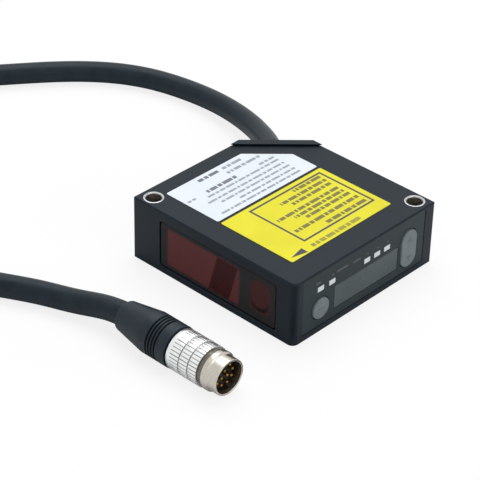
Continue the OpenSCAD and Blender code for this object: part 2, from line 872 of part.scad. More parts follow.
// Board under the roof, with clearance holes for its screws
module main_board() {
    color([0.1, 0.35, 0.2]) difference() {
        translate([0, 0, main_board_z]) linear_extrude(board_t) intersection() {
            translate([main_board_x0, main_board_y0])
                square([main_board_x1 - main_board_x0, main_board_y1 - main_board_y0]);
            polygon(outline_points(board_cut));
        }
        for (p = board_posts)
            translate([p.x, p.y, main_board_z - cut]) cylinder(d = screw_hole_d, h = board_t + 2 * cut);
    }
}

// Processor, memory and regulator on the lower side of the main board
module main_chips() {
    mid_x = (main_board_x0 + main_board_x1) / 2;
    mid_y = (main_board_y0 + main_board_y1) / 2;
    color([0.12, 0.12, 0.13]) translate([mid_x, mid_y, main_board_z - chip_t]) {
        for (c = chips)
            translate([c[0], c[1], 0]) cube([c[2], c[3], chip_t]);
    }
}

module board_screws() {
    color([0.55, 0.56, 0.58]) for (p = board_posts) translate([p.x, p.y, main_board_z]) {
        cylinder(d = screw_d, h = board_screw_l);
        translate([0, 0, -chip_t]) cylinder(d = screw_head_d, h = chip_t);
    }
}

// Flat cable that turns from the main board down the back of the display board
module flex_cable() {
    x0 = main_board_x1 - flex_lap;
    x1 = display_board_x - board_t;
    color([0.7, 0.45, 0.12])
        translate([0, display_y + flex_w / 2, main_board_z]) rotate([90, 0, 0]) linear_extrude(flex_w)
            polygon([
                [x0, 0], [x1, 0], [x1, -flex_drop],
                [x1 - flex_t, -flex_drop], [x1 - flex_t, -flex_t], [x0, -flex_t]
            ]);
}

module display_board() {
    color([0.1, 0.35, 0.2])
        translate([display_board_x - board_t, display_board_y0, display_board_z0])
            cube([board_t, display_board_y1 - display_board_y0, roof_z - display_board_z0]);
}

// Digit module that stands on the display board and meets the back of the panel
module digit_display() {
    color([0.25, 0.26, 0.27]) on_side(display_board_x, display_y, display_z, panel_back_x - display_board_x)
        square([display_l - 2 * digit_margin, display_h - 2 * digit_margin], center = true);
}

module indicator_chips() {
    color([0.9, 0.9, 0.85]) for (y = led_ys)
        on_side(display_board_x, y, led_z, led_chip_t) square([led_chip_l, led_chip_h], center = true);
}

// White light guides that fill the panel's indicator holes
module indicator_guides() {
    back_x = panel_back_x - led_flange_t;
    color([0.82, 0.84, 0.84]) for (y = led_ys) {
        on_side(back_x, y, led_z, panel_face_x - led_sink - back_x) square([led_l, led_h], center = true);
        on_side(back_x, y, led_z, led_flange_t)
            square([led_l + 2 * led_flange, led_h + 2 * led_flange], center = true);
    }
}

// One switch under the round key and one under each end of the rocking key
module key_switch(y, z, tip_x) {
    on_side(display_board_x, y, z, switch_t) square([switch_w, switch_h], center = true);
    on_side(display_board_x, y, z, tip_x - display_board_x) circle(d = switch_d);
}

module key_switches() {
    color([0.3, 0.3, 0.32]) {
        key_switch(key_y, key_z, switch_tip_x);
        for (s = [-1, 1]) key_switch(rocker_y, rocker_z + s * rocker_reach, rocker_tip_x);
    }
}

// Bracket on the display board with two ears for the rocking key's pin
module rocker_bracket() {
    depth = rocker_pin_x - display_board_x;
    color([0.35, 0.36, 0.38]) difference() {
        union() {
            on_side(display_board_x, rocker_y, rocker_z, bracket_base)
                square([bracket_w, 2 * bracket_r], center = true);
            for (s = [-1, 1]) translate([0, s * (bracket_w - bracket_wall) / 2, 0]) {
                on_side(display_board_x, rocker_y, rocker_z, depth)
                    square([bracket_wall, 2 * bracket_r], center = true);
                translate([rocker_pin_x, rocker_y + bracket_wall / 2, rocker_z]) rotate([90, 0, 0])
                    cylinder(r = bracket_ear_r, h = bracket_wall);
            }
        }
        translate([rocker_pin_x, rocker_y + bracket_w, rocker_z]) rotate([90, 0, 0])
            cylinder(d = rocker_pin_d, h = 2 * bracket_w);
    }
}

module rocker_pin() {
    color([0.8, 0.8, 0.82]) translate([rocker_pin_x, rocker_y + bracket_w / 2, rocker_z]) rotate([90, 0, 0])
        cylinder(d = rocker_pin_d, h = bracket_w);
}

// Panel with holes for the keys and indicators and a stepped hole for the filter
module display_panel() {
    color([0.23, 0.25, 0.27]) difference() {
        on_side(panel_back_x, panel_y, panel_z, panel_t)
            round_rect(panel_l - 2 * panel_gap, panel_h - 2 * panel_gap, panel_corner);
        on_side(panel_back_x - cut, display_y, display_z, panel_t + 2 * cut)
            square([display_l - 2 * filter_ledge, display_h - 2 * filter_ledge], center = true);
        on_side(panel_face_x - filter_t, display_y, display_z, filter_t + cut)
            square([display_l, display_h], center = true);
        for (y = led_ys)
            on_side(panel_back_x - cut, y, led_z, panel_t + 2 * cut)
                square([led_l + 2 * led_gap, led_h + 2 * led_gap], center = true);
        on_side(panel_back_x - cut, key_y, key_z, panel_t + 2 * cut) circle(d = key_d + 2 * key_gap);
        on_side(panel_back_x - cut, rocker_y, rocker_z, panel_t + 2 * cut)
            slot_shape(rocker_w + 2 * key_gap, rocker_h + 2 * key_gap);
    }
}

module display_filter() {
    color([0.3, 0.33, 0.34]) on_side(panel_face_x - filter_t, display_y, display_z, filter_t - led_sink)
        square([display_l - 2 * filter_gap, display_h - 2 * filter_gap], center = true);
}

// Round key with a flange behind the panel
module round_key() {
    color([0.47, 0.49, 0.52]) translate([key_flange_x, key_y, key_z]) rotate([0, 90, 0]) {
        cylinder(d = key_d + 2 * key_flange, h = key_flange_t);
        cylinder(d = key_d, h = key_top_x - key_flange_x - key_dome);
        translate([0, 0, key_top_x - key_flange_x - key_dome])
            cylinder(d1 = key_d, d2 = key_d - 4 * key_dome, h = key_dome);
    }
}

// Rocking key with a bored lug that turns on the pin
module rocker_key() {
    color([0.47, 0.49, 0.52]) difference() {
        union() {
            on_side(rocker_back_x, rocker_y, rocker_z, key_top_x - key_dome - rocker_back_x)
                slot_shape(rocker_w, rocker_h);
            on_side(key_top_x - key_dome - cut, rocker_y, rocker_z, key_dome + cut)
                slot_shape(rocker_w - 2 * key_dome, rocker_h - 2 * key_dome);
            on_side(rocker_pin_x, rocker_y, rocker_z, rocker_back_x - rocker_pin_x)
                square([rocker_lug_w, 2 * rocker_lug_r], center = true);
            translate([rocker_pin_x, rocker_y + rocker_lug_w / 2, rocker_z]) rotate([90, 0, 0])
                cylinder(r = rocker_lug_r, h = rocker_lug_w);
        }
        translate([rocker_pin_x, rocker_y + rocker_lug_w, rocker_z]) rotate([90, 0, 0])
            cylinder(d = rocker_pin_d + 2 * rocker_pin_gap, h = 2 * rocker_lug_w);
    }
}

module white_label() {
    x0 = left_x + label_left;
    y0 = front_y + label_front;
    y1 = back_y - label_back;
    color([0.94, 0.96, 1]) translate([0, 0, body_h]) linear_extrude(label_t) polygon([
        [x0, y0], [x0 + white_w, y0], [x0 + white_w, y1], [x0 + label_cut, y1], [x0, y1 - label_cut]
    ]);
}

module yellow_label() {
    x0 = left_x + label_left + white_w + label_strip;
    y0 = front_y + label_front;
    y1 = back_y - label_back;
    color([0.96, 0.94, 0.16]) translate([x0, y0, body_h])
        cube([right_x - label_right - x0, y1 - y0, label_t]);
}

// Rubber gland through the wall of the cut corner
module cable_gland() {
    flange_r = gland_neck_r + gland_flange;
    color([0.13, 0.14, 0.15]) out_of_exit() rotate_extrude() polygon([
        [cable_bore_r, -wall - gland_flange_t], [flange_r, -wall - gland_flange_t], [flange_r, -wall],
        [gland_neck_r, -wall], [gland_neck_r, 0], [flange_r, 0], [flange_r, gland_flange_t],
        [cable_bore_r + gland_tail, gland_l], [cable_bore_r, gland_l]
    ]);
}

// Metal ring crimped on the cable inside the body
module crimp_ring() {
    color([0.7, 0.71, 0.73]) out_of_exit() translate([0, 0, -wall - gland_flange_t - crimp_l]) difference() {
        cylinder(r = cable_bore_r + crimp_wall, h = crimp_l);
        translate([0, 0, -cut]) cylinder(r = cable_bore_r, h = crimp_l + 2 * cut);
    }
}

// Tube swept along the route, one ring of points at each route point
function unit(v) = v / norm(v);
function route_dir(i) = unit(
    cable_route[min(i + 1, len(cable_route) - 1)] - cable_route[max(i - 1, 0)]
);
function ring_point(i, j) = let (
    t = route_dir(i),
    s = unit(cross([0, 0, 1], t)),
    u = cross(t, s),
    a = 360 * j / cable_sides
) cable_route[i] + cable_r * (cos(a) * s + sin(a) * u);

module cable() {
    n = len(cable_route);
    m = cable_sides;
    points = [for (i = [0 : n - 1], j = [0 : m - 1]) ring_point(i, j)];
    sides = [for (i = [0 : n - 2], j = [0 : m - 1], half = [0, 1]) let (
        a = i * m + j,
        b = i * m + (j + 1) % m
    ) half == 0 ? [a, a + m, b] : [b, a + m, b + m]];
    start_cap = [for (j = [0 : m - 1]) j];
    end_cap = [for (j = [m - 1 : -1 : 0]) (n - 1) * m + j];
    color([0.16, 0.17, 0.18]) polyhedron(points, concat(sides, [start_cap, end_cap]));
}

// Soft boot with ring grooves and a tapered tail
module plug_boot() {
    r = boot_d / 2;
    tail_r = boot_tail_d / 2;
    taper = boot_start + boot_body;
    color([0.15, 0.16, 0.17]) behind_rim() difference() {
        rotate_extrude() polygon([
            [0, boot_start], [r, boot_start], [r, taper], [tail_r, boot_end - boot_round],
            [tail_r - boot_round, boot_end], [0, boot_end]
        ]);
        for (i = [0 : boot_groove_n - 1])
            translate([0, 0, boot_start + boot_groove_start + i * boot_groove_pitch]) difference() {
                cylinder(r = r + cut, h = boot_groove_w);
                translate([0, 0, -cut]) cylinder(r = r - boot_groove_depth, h = boot_groove_w + 2 * cut);
            }
        translate([0, 0, boot_start - cut]) cylinder(d = core_d, h = core_end - boot_start + cut);
        cylinder(r = cable_bore_r, h = boot_end + cut);
    }
}

// Toothed ring outline of the ridges
function knurl_points(r) = [for (i = [0 : knurl_n - 1], k = [0 : 3]) let (
    step = 360 / knurl_n,
    a = (i + knurl_tooth[k]) * step,
    q = k == 1 || k == 2 ? r : r - knurl_depth
) q * [cos(a), sin(a)]];

module knurl_row(start) {
    translate([0, 0, start]) linear_extrude(knurl_l) polygon(knurl_points(sleeve_d / 2 - knurl_sink));
}

// Pull sleeve with rows of ridges round it
module plug_sleeve() {
    r = sleeve_d / 2;
    groove_r = r - knurl_depth;
    pitch = knurl_l + knurl_groove;
    color([0.8, 0.81, 0.82]) behind_rim() difference() {
        union() {
            translate([0, 0, sleeve_start]) cylinder(r = groove_r, h = sleeve_l);
            translate([0, 0, sleeve_end - sleeve_ring - knurl_sink]) cylinder(r = r, h = sleeve_ring + knurl_sink);
            for (i = [0 : knurl_rows - 1]) knurl_row(sleeve_start + knurl_front + i * pitch);
        }
        translate([0, 0, sleeve_start - cut]) cylinder(r = core_d / 2 + sleeve_gap, h = sleeve_l + 2 * cut);
    }
}

// Metal shell: rim, smooth barrel, collar and the core under the sleeve and boot
module plug_shell() {
    bevel = (barrel_d - rim_d) / 2;
    core_r = core_d / 2;
    color([0.72, 0.71, 0.68]) behind_rim() rotate_extrude() polygon([
        [socket_d / 2, 0], [rim_d / 2, 0], [rim_d / 2, rim_l], [barrel_d / 2, rim_l + bevel],
        [barrel_d / 2, barrel_end], [collar_d / 2, barrel_end], [collar_d / 2, collar_end],
        [core_r, collar_end], [core_r, core_end], [core_bore_r, core_end],
        [core_bore_r, socket_end], [socket_d / 2, socket_end]
    ]);
}

function pin_places() = concat(
    [for (i = [0 : pin_ring_n - 1]) pin_ring_r * [cos(360 * i / pin_ring_n), sin(360 * i / pin_ring_n)]],
    [for (i = [0 : pin_core_n - 1]) pin_core_r * [cos(360 * i / pin_core_n), sin(360 * i / pin_core_n)]]
);

// Dark insert that holds the contact pins
module plug_insert() {
    color([0.06, 0.06, 0.06]) behind_rim() difference() {
        translate([0, 0, insert_front]) {
            cylinder(r = socket_d / 2 - insert_gap, h = insert_head_t);
            cylinder(r = core_bore_r - insert_gap, h = insert_end - insert_front);
        }
        for (p = pin_places())
            translate([p.x, p.y, 0]) cylinder(d = pin_d + 2 * insert_gap, h = insert_end + cut);
    }
}

module plug_pins() {
    color([0.83, 0.66, 0.3]) behind_rim() for (p = pin_places())
        translate([p.x, p.y, pin_front]) cylinder(d = pin_d, h = insert_end + pin_tail - pin_front);
}

housing();
cover();
cover_gasket();
cover_screws();
mounting_bushes();
front_window();
window_mask();
optical_base();
laser_holder();
laser_diode();
collimator_lens();
collimator_retainer();
laser_board();
receiver_block();
receiver_lens();
receiver_retainer();
image_sensor();
sensor_board();
main_board();
main_chips();
board_screws();
flex_cable();
display_board();
digit_display();
indicator_chips();
indicator_guides();
key_switches();
rocker_bracket();
rocker_pin();
display_panel();
display_filter();
round_key();
rocker_key();
white_label();
yellow_label();
cable_gland();
crimp_ring();
cable();
plug_boot();
plug_sleeve();
plug_shell();
plug_insert();
plug_pins();
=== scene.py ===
import math
import bmesh
import bpy
import numpy as np
from mathutils import Matrix, Vector


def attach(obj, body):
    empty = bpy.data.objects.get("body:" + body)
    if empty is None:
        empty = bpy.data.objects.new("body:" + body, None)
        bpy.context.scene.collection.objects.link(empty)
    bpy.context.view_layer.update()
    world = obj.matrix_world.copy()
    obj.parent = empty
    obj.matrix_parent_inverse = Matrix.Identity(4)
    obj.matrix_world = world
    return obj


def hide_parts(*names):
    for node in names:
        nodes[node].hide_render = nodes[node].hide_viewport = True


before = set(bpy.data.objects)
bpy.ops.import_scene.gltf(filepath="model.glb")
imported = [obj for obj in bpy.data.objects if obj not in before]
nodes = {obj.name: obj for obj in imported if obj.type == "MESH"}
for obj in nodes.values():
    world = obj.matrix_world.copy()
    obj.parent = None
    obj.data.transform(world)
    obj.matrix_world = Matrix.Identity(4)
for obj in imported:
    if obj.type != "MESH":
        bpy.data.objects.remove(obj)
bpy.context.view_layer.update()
scene = bpy.context.scene
scene.view_settings.view_transform = "Standard"
mm = 0.001
print("frame loaded,", len(nodes), "nodes")

# the photograph's camera, from a fit to the corners of the head
shot = {"azimuth": 42.809, "elevation": 33.971, "roll": 1.371, "distance": 0.557285,
        "target": (-0.014588, -0.00166, 0.0), "lens": 148.11, "sensor": 36.0, "clip": 0.01}


def aimCamera(s):
    # back points from the target to the camera, and the roll turns right and up about it
    a, e, r = (math.radians(s[k]) for k in ("azimuth", "elevation", "roll"))
    back = Vector((math.sin(a) * math.cos(e), -math.cos(a) * math.cos(e), math.sin(e)))
    level = Vector((math.cos(a), math.sin(a), 0.0))
    right = math.cos(r) * level + math.sin(r) * back.cross(level)
    camera = bpy.data.objects.new("camera", bpy.data.cameras.new("camera"))
    scene.collection.objects.link(camera)
    turn = Matrix((right, back.cross(right), back)).transposed().to_4x4()
    turn.translation = Vector(s["target"]) + s["distance"] * back
    camera.matrix_world = turn
    camera.data.lens = s["lens"]
    camera.data.sensor_width = s["sensor"]
    camera.data.clip_start = s["clip"]
    scene.camera = camera


aimCamera(shot)
print("camera set")


# mesh helpers

def gridQuads(rows, columns, wrapRows, start):
    # each quad joins four neighbours of a rows by columns grid whose columns close round
    a, b = np.meshgrid(np.arange(rows if wrapRows else rows - 1), np.arange(columns), indexing="ij")
    c, d = (a + 1) % rows, (b + 1) % columns
    corners = [a * columns + b, c * columns + b, c * columns + d, a * columns + d]
    return start + np.stack(corners, -1).reshape(-1, 4)


def solid(name, grids, wrapRows=False, sharp=40.0, marks=None):
    # grids of points (rows, columns, 3) whose columns close round; open end rows get one flat face each
    faces, start = [], 0
    for grid in grids:
        rows, columns = grid.shape[:2]
        faces += gridQuads(rows, columns, wrapRows, start).tolist()
        if not wrapRows:
            ring = np.arange(start, start + columns)
            faces += [ring[::-1].tolist(), (ring + (rows - 1) * columns).tolist()]
        start += rows * columns
    mesh = bpy.data.meshes.new(name)
    mesh.from_pydata(np.concatenate([g.reshape(-1, 3) for g in grids]).tolist(), [], faces)
    work = bmesh.new()
    work.from_mesh(mesh)
    bmesh.ops.recalc_face_normals(work, faces=work.faces)
    work.to_mesh(mesh)
    work.free()
    mesh.polygons.foreach_set("use_smooth", np.ones(len(mesh.polygons), bool))
    mesh.set_sharp_from_angle(angle=math.radians(sharp))
    for label, values in (marks or {}).items():
        mark = mesh.attributes.new(label, "FLOAT", "POINT")
        mark.data.foreach_set("value", np.asarray(values, np.float32).ravel())
    piece = bpy.data.objects.new(name, mesh)
    scene.collection.objects.link(piece)
    return piece


def joined(name, pieces):
    # puts the meshes of several pieces into the first one
    work = bmesh.new()
    for piece in pieces:
        work.from_mesh(piece.data)
    work.to_mesh(pieces[0].data)
    work.free()
    for piece in pieces[1:]:
        bpy.data.objects.remove(piece)
    pieces[0].name = pieces[0].data.name = name
    return pieces[0]


def roundedLoop(corners, radii, steps=6):
    # outline of straight edges whose corners are arcs tangent to both edges
    p = np.array(corners, float)
    out = []
    for k, r in enumerate(np.broadcast_to(radii, len(p))):
        a, b = p[k - 1] - p[k], p[(k + 1) % len(p)] - p[k]
        a, b = a / np.linalg.norm(a), b / np.linalg.norm(b)
        half = math.acos(np.clip(a @ b, -1, 1)) / 2
        middle = (a + b) / np.linalg.norm(a + b)
        centre = p[k] + middle * r / math.sin(half)
        t = np.linspace(-1, 1, steps) * (math.pi / 2 - half)
        side = np.array([-middle[1], middle[0]]) * np.sign(a[0] * b[1] - a[1] * b[0])
        out.append(centre - r * (np.cos(t)[:, None] * middle + np.sin(t)[:, None] * -side))
    loop = np.concatenate(out)
    return loop if turnsLeft(loop) else loop[::-1]


def turnsLeft(loop):
    # twice the signed area, which is above zero when the loop turns left
    x, y = loop.T
    return np.sum(x * np.roll(y, -1) - y * np.roll(x, -1)) > 0


def boxLoop(x0, x1, y0, y1, r, steps=6):
    # rectangle whose corners are arcs of radius r
    return roundedLoop([(x0, y0), (x1, y0), (x1, y1), (x0, y1)], r, steps)


def inwards(loop):
    # unit normal at each point of a loop that turns left, pointing into it
    t = np.roll(loop, -1, 0) - np.roll(loop, 1, 0)
    t /= np.linalg.norm(t, axis=1, keepdims=True)
    return np.stack([-t[:, 1], t[:, 0]], 1)


# axes of a face: along, up the face, and out of it
faceAxes = {"top": ((1, 0, 0), (0, 1, 0), (0, 0, 1)),
            "front": ((1, 0, 0), (0, 0, 1), (0, -1, 0)),
            "side": ((0, 1, 0), (0, 0, 1), (1, 0, 0))}


def plateGrid(loop, profile, face):
    # each row is the loop moved inwards by the profile's inset and raised by its height; all in mm
    along, up, out = (np.array(v, float) for v in faceAxes[face])
    normal = inwards(loop)
    flat = np.stack([loop + normal * inset for inset, _ in profile])
    height = np.array([h for _, h in profile])[:, None, None]
    return (flat[..., :1] * along + flat[..., 1:] * up + height * out) * mm


footRows = 3  # rows of an edge profile before its arc


def edgeProfile(low, high, r, steps=4, lap=0.04):
    # bevelled foot, straight side, quarter arc of radius r, and a little way in over the flat top
    t = np.linspace(0, math.pi / 2, steps)
    arc = [(r - r * math.cos(v), high - r + r * math.sin(v)) for v in t]
    return [(r + lap, low), (r, low), (0.0, low + r)] + arc + [(r + lap, high)]


def smoothStep(v):
    # 0 below 0, 1 above 1, and an S-curve between
    v = np.clip(v, 0, 1)
    return v * v * (3 - 2 * v)


def latheGrid(profile, centre, axis, side, sides=96):
    # each row is a circle of the profile's radius at its distance along the axis; all in mm
    axis, side = np.array(axis, float), np.array(side, float)
    third = np.cross(axis, side)
    d, r = np.array(profile, float).T
    t = np.linspace(0, 2 * math.pi, sides, endpoint=False)
    ring = np.cos(t)[:, None] * side + np.sin(t)[:, None] * third
    return (np.array(centre, float) + d[:, None, None] * axis + r[:, None, None] * ring) * mm


# shader groups: what they put out changes over the surface

def newGroup(name, inputs, outputs):
    # node group whose sockets are plain numbers
    group = bpy.data.node_groups.new(name, "ShaderNodeTree")
    for label in inputs:
        group.interface.new_socket(label, in_out="INPUT", socket_type="NodeSocketFloat")
    for label in outputs:
        group.interface.new_socket(label, in_out="OUTPUT", socket_type="NodeSocketFloat")
    return group, group.nodes.new("NodeGroupInput"), group.nodes.new("NodeGroupOutput")


def grainGroup(name, stretch):
    # Tone is a slow cloud and Height a fine grain, both noises on Object coordinates
    group, given, out = newGroup(name, ("Coarse", "Fine"), ("Tone", "Height"))
    n, wires = group.nodes, group.links
    where = n.new("ShaderNodeTexCoord")
    squeeze = n.new("ShaderNodeMapping")
    squeeze.inputs["Scale"].default_value = stretch
    wires.new(where.outputs["Object"], squeeze.inputs["Vector"])
    for label, target, detail in (("Coarse", "Tone", 4.0), ("Fine", "Height", 2.0)):
        noise = n.new("ShaderNodeTexNoise")
        noise.inputs["Detail"].default_value = detail
        wires.new(squeeze.outputs["Vector"], noise.inputs["Vector"])
        wires.new(given.outputs[label], noise.inputs["Scale"])
        wires.new(noise.outputs["Fac"], out.inputs[target])
    return group


def fieldGroup(name, across, upwards):
    # Mask is 1 inside a rounded rectangle that leans: distance outside = |max(|p - c| - h + r, 0)| - r, in mm
    group, given, out = newGroup(name, ("X", "Y", "HalfX", "HalfY", "Radius", "Lean", "Blur"), ("Mask",))
    n, wires = group.nodes, group.links
    where = n.new("ShaderNodeTexCoord")
    split = n.new("ShaderNodeSeparateXYZ")
    wires.new(where.outputs["Object"], split.inputs["Vector"])

    def calc(kind, a, b=None):
        node = n.new("ShaderNodeMath")
        node.operation = kind
        for socket, value in zip(node.inputs, (a, b)):
            if isinstance(value, (int, float)):
                socket.default_value = value
            elif value is not None:
                wires.new(value, socket)
        return node.outputs["Value"]

    def beyond(offset, half):
        q = calc("SUBTRACT", calc("ABSOLUTE", offset), given.outputs[half])
        q = calc("MAXIMUM", calc("ADD", q, given.outputs["Radius"]), 0.0)
        return calc("MULTIPLY", q, q)

    high = calc("SUBTRACT", calc("MULTIPLY", split.outputs[upwards], 1 / mm), given.outputs["Y"])
    wide = calc("SUBTRACT", calc("MULTIPLY", split.outputs[across], 1 / mm), given.outputs["X"])
    wide = calc("SUBTRACT", wide, calc("MULTIPLY", high, given.outputs["Lean"]))
    gap = calc("SQRT", calc("ADD", beyond(wide, "HalfX"), beyond(high, "HalfY")))
    gap = calc("SUBTRACT", gap, given.outputs["Radius"])
    fade = n.new("ShaderNodeMapRange")
    fade.interpolation_type = "SMOOTHSTEP"
    fade.inputs["To Min"].default_value = 1.0
    fade.inputs["To Max"].default_value = 0.0
    wires.new(gap, fade.inputs["Value"])
    wires.new(calc("MULTIPLY", given.outputs["Blur"], -1.0), fade.inputs["From Min"])
    wires.new(given.outputs["Blur"], fade.inputs["From Max"])
    wires.new(fade.outputs["Result"], out.inputs["Mask"])
    return group


mouldGrain = grainGroup("mouldGrain", (1, 1, 1))
turnedGrain = grainGroup("turnedGrain", (30, 1, 1))  # lathe lines round the connector's axis
uprightGrain = grainGroup("uprightGrain", (1, 1, 30))  # lathe lines round the bushes
frontField = fieldGroup("frontField", "X", "Z")
print("shader groups built")


toneRange = (0.3, 0.7)  # most of the noise lies between these


def linear(r, g, b):
    # from 8-bit display values
    c = np.array([r, g, b]) / 255.0
    c = np.where(c <= 0.04045, c / 12.92, ((c + 0.055) / 1.055) ** 2.4)
    return (*(float(v) for v in c), 1.0)


def mixSocket(sockets, label):
    # a Mix node keeps one A, B and Result for each kind of data, so the colour ones are picked by type
    return next(s for s in sockets if s.name == label and s.type == "RGBA")


def makeFinish(name, low, high, rough, coarse=300, fine=5000, relief=0.00002, group=None, **plain):
    # base colour and roughness swing between two values with Tone, and Height is the relief in metres
    material = bpy.data.materials.new(name)
    material.use_nodes = True
    n, wires = material.node_tree.nodes, material.node_tree.links
    shader = n["Principled BSDF"]
    grain = n.new("ShaderNodeGroup")
    grain.node_tree = group or mouldGrain
    grain.inputs["Coarse"].default_value = coarse
    grain.inputs["Fine"].default_value = fine
    spread = []
    for least, most in ((0.0, 1.0), rough):
        swing = n.new("ShaderNodeMapRange")
        for label, value in zip(("From Min", "From Max", "To Min", "To Max"), (*toneRange, least, most)):
            swing.inputs[label].default_value = value
        wires.new(grain.outputs["Tone"], swing.inputs["Value"])
        spread.append(swing.outputs["Result"])
    colour = n.new("ShaderNodeMix")
    colour.data_type = "RGBA"
    mixSocket(colour.inputs, "A").default_value = low
    mixSocket(colour.inputs, "B").default_value = high
    wires.new(spread[0], colour.inputs["Factor"])
    wires.new(mixSocket(colour.outputs, "Result"), shader.inputs["Base Color"])
    wires.new(spread[1], shader.inputs["Roughness"])
    bump = n.new("ShaderNodeBump")
    bump.inputs["Distance"].default_value = relief
    wires.new(grain.outputs["Height"], bump.inputs["Height"])
    wires.new(bump.outputs["Normal"], shader.inputs["Normal"])
    for label, value in plain.items():
        shader.inputs[label.replace("_", " ")].default_value = value
    return material


def fieldMask(material, group, field, lean, blur):
    # a rounded rectangle given as (x0, x1, y0, y1, radius) in mm
    x0, x1, y0, y1, r = field
    node = material.node_tree.nodes.new("ShaderNodeGroup")
    node.node_tree = group
    values = {"X": (x0 + x1) / 2, "Y": (y0 + y1) / 2, "HalfX": (x1 - x0) / 2, "HalfY": (y1 - y0) / 2,
              "Radius": r, "Lean": lean, "Blur": blur}
    for label, value in values.items():
        node.inputs[label].default_value = value
    return node.outputs["Mask"]


def markMask(material, label):
    # a value kept on the piece's own points
    node = material.node_tree.nodes.new("ShaderNodeAttribute")
    node.attribute_name = label
    return node.outputs["Fac"]


def layColour(material, mask, colour):
    # lays a colour, where the mask is 1, over what already feeds Base Color
    n, wires = material.node_tree.nodes, material.node_tree.links
    base = n["Principled BSDF"].inputs["Base Color"]
    before = base.links[0].from_socket
    mix = n.new("ShaderNodeMix")
    mix.data_type = "RGBA"
    wires.new(mask, mix.inputs["Factor"])
    wires.new(before, mixSocket(mix.inputs, "A"))
    mixSocket(mix.inputs, "B").default_value = colour
    wires.new(mixSocket(mix.outputs, "Result"), base)


def dress(piece, body, slot, material, *stands):
    # finish, body, slot (not used), and the nodes that the piece stands for
    piece.data.materials.clear()
    piece.data.materials.append(material)
    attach(piece, body)
    if stands:
        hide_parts(*stands)
    return piece


# cable

cable = {"diameter": 6.7, "sides": 32, "rings": 420, "length": 0.48, "exit": (-26.24, 24.74, 9.0)}
cableRoute = [
    (-16, 14.5, 9), (-22, 20.5, 9), (-27, 25.5, 9), (-33, 30.7, 8.3),
    (-40.5, 35.5, 7), (-48.5, 39.4, 5.8), (-57, 42.2, 4.9), (-69.5, 44.3, 3.9),
    (-82, 43.8, 3.4), (-93, 41.1, 3.4), (-103, 36.3, 3.4), (-117.5, 23.5, 3.4),
    (-129.5, 8.2, 3.4), (-139.5, -4.5, 3.4), (-150, -18, 3.4), (-160.5, -31.5, 3.4),
    (-171, -45, 3.4), (-179.5, -59, 3.4), (-185, -74, 3.4), (-186.5, -90, 3.4),
    (-183, -105.5, 3.4), (-174.5, -118.5, 3.4), (-162, -127, 3.4), (-147.5, -130.5, 3.4),
    (-133, -128.5, 3.4), (-120.5, -122, 3.4), (-108.5, -113.5, 3.4), (-96, -103.5, 3.4),
    (-83, -92.8, 3.4), (-69.5, -83, 3.4), (-55.5, -74.2, 3.4), (-42, -67, 3.4),
    (-31.5, -61.7, 3.5), (-20.5, -57.7, 4), (-12.5, -55.5, 5.2), (-6, -54.9, 6),
    (6, -54.9, 6)]


def smoothRoute(points, count):
    # cubic through the points, spaced by chord length, with second derivatives from one linear solve
    p = np.array(points, float)
    t = np.concatenate([[0], np.cumsum(np.linalg.norm(np.diff(p, axis=0), axis=1))])
    h, slope = np.diff(t), np.diff(p, axis=0) / np.diff(t)[:, None]
    system = np.diag(np.r_[1, 2 * (h[:-1] + h[1:]), 1])
    system += np.diag(np.r_[0, h[1:]], 1) + np.diag(np.r_[h[:-1], 0], -1)
    right = np.zeros_like(p)
    right[1:-1] = 6 * np.diff(slope, axis=0)
    curve = np.linalg.solve(system, right)
    s = np.linspace(0, t[-1], count)
    k = np.clip(np.searchsorted(t, s, "right") - 1, 0, len(h) - 1)
    a, b, w = ((t[k + 1] - s) / h[k])[:, None], ((s - t[k]) / h[k])[:, None], (h[k] ** 2 / 6)[:, None]
    return a * p[k] + b * p[k + 1] + w * ((a ** 3 - a) * curve[k] + (b ** 3 - b) * curve[k + 1])


def tubeGrid(path, radius, sides):
    # a circle carried along the path, with its side level and its top as near upright as the path lets it
    t = np.gradient(path, axis=0)
    t /= np.linalg.norm(t, axis=1, keepdims=True)
    side = np.cross(np.array([0, 0, 1.0]), t)
    side /= np.linalg.norm(side, axis=1, keepdims=True)
    top = np.cross(t, side)
    a = np.linspace(0, 2 * math.pi, sides, endpoint=False)[None, :, None]
    return path[:, None] + radius * (np.cos(a) * side[:, None] + np.sin(a) * top[:, None])


# dark plastics mirror slightly blue
coolGloss = (0.82, 0.96, 1.0, 1.0)
jacket = makeFinish("cableJacket", linear(21, 29, 36), linear(29, 39, 47), (0.34, 0.46),
                    coarse=260, fine=2600, Specular_IOR_Level=0.2, Specular_Tint=coolGloss)
cablePath = smoothRoute(cableRoute, cable["rings"])
cableTube = solid("cableTube", [tubeGrid(cablePath, cable["diameter"] / 2, cable["sides"]) * mm])
dress(cableTube, "sensor", "cable_jacket", jacket, "cable")
print("cable laid,", round(float(np.linalg.norm(np.diff(cablePath, axis=0), axis=1).sum()), 1), "mm")


# connector: distances run back from its rim, along -X

plug = {"rim": (32.2, -54.9, 6.0), "axis": (-1, 0, 0), "side": (0, 1, 0)}


def arcRows(d, r, radius, start, stop, count):
    # rows (distance, radius) on an arc about (d, r), with angles in degrees from straight out
    t = np.radians(np.linspace(start, stop, count))
    return np.stack([d + radius * np.sin(t), r + radius * np.cos(t)], 1)


def turned(name, profile, mark, sides=96, sharp=40.0):
    # closed section turned round the connector's axis; the mark, which tells where shade is painted, is
    # carried round with it
    grid = latheGrid(profile, plug["rim"], plug["axis"], plug["side"], sides)
    return solid(name, [grid], wrapRows=True, sharp=sharp, marks={"sunk": np.repeat(mark, sides)})


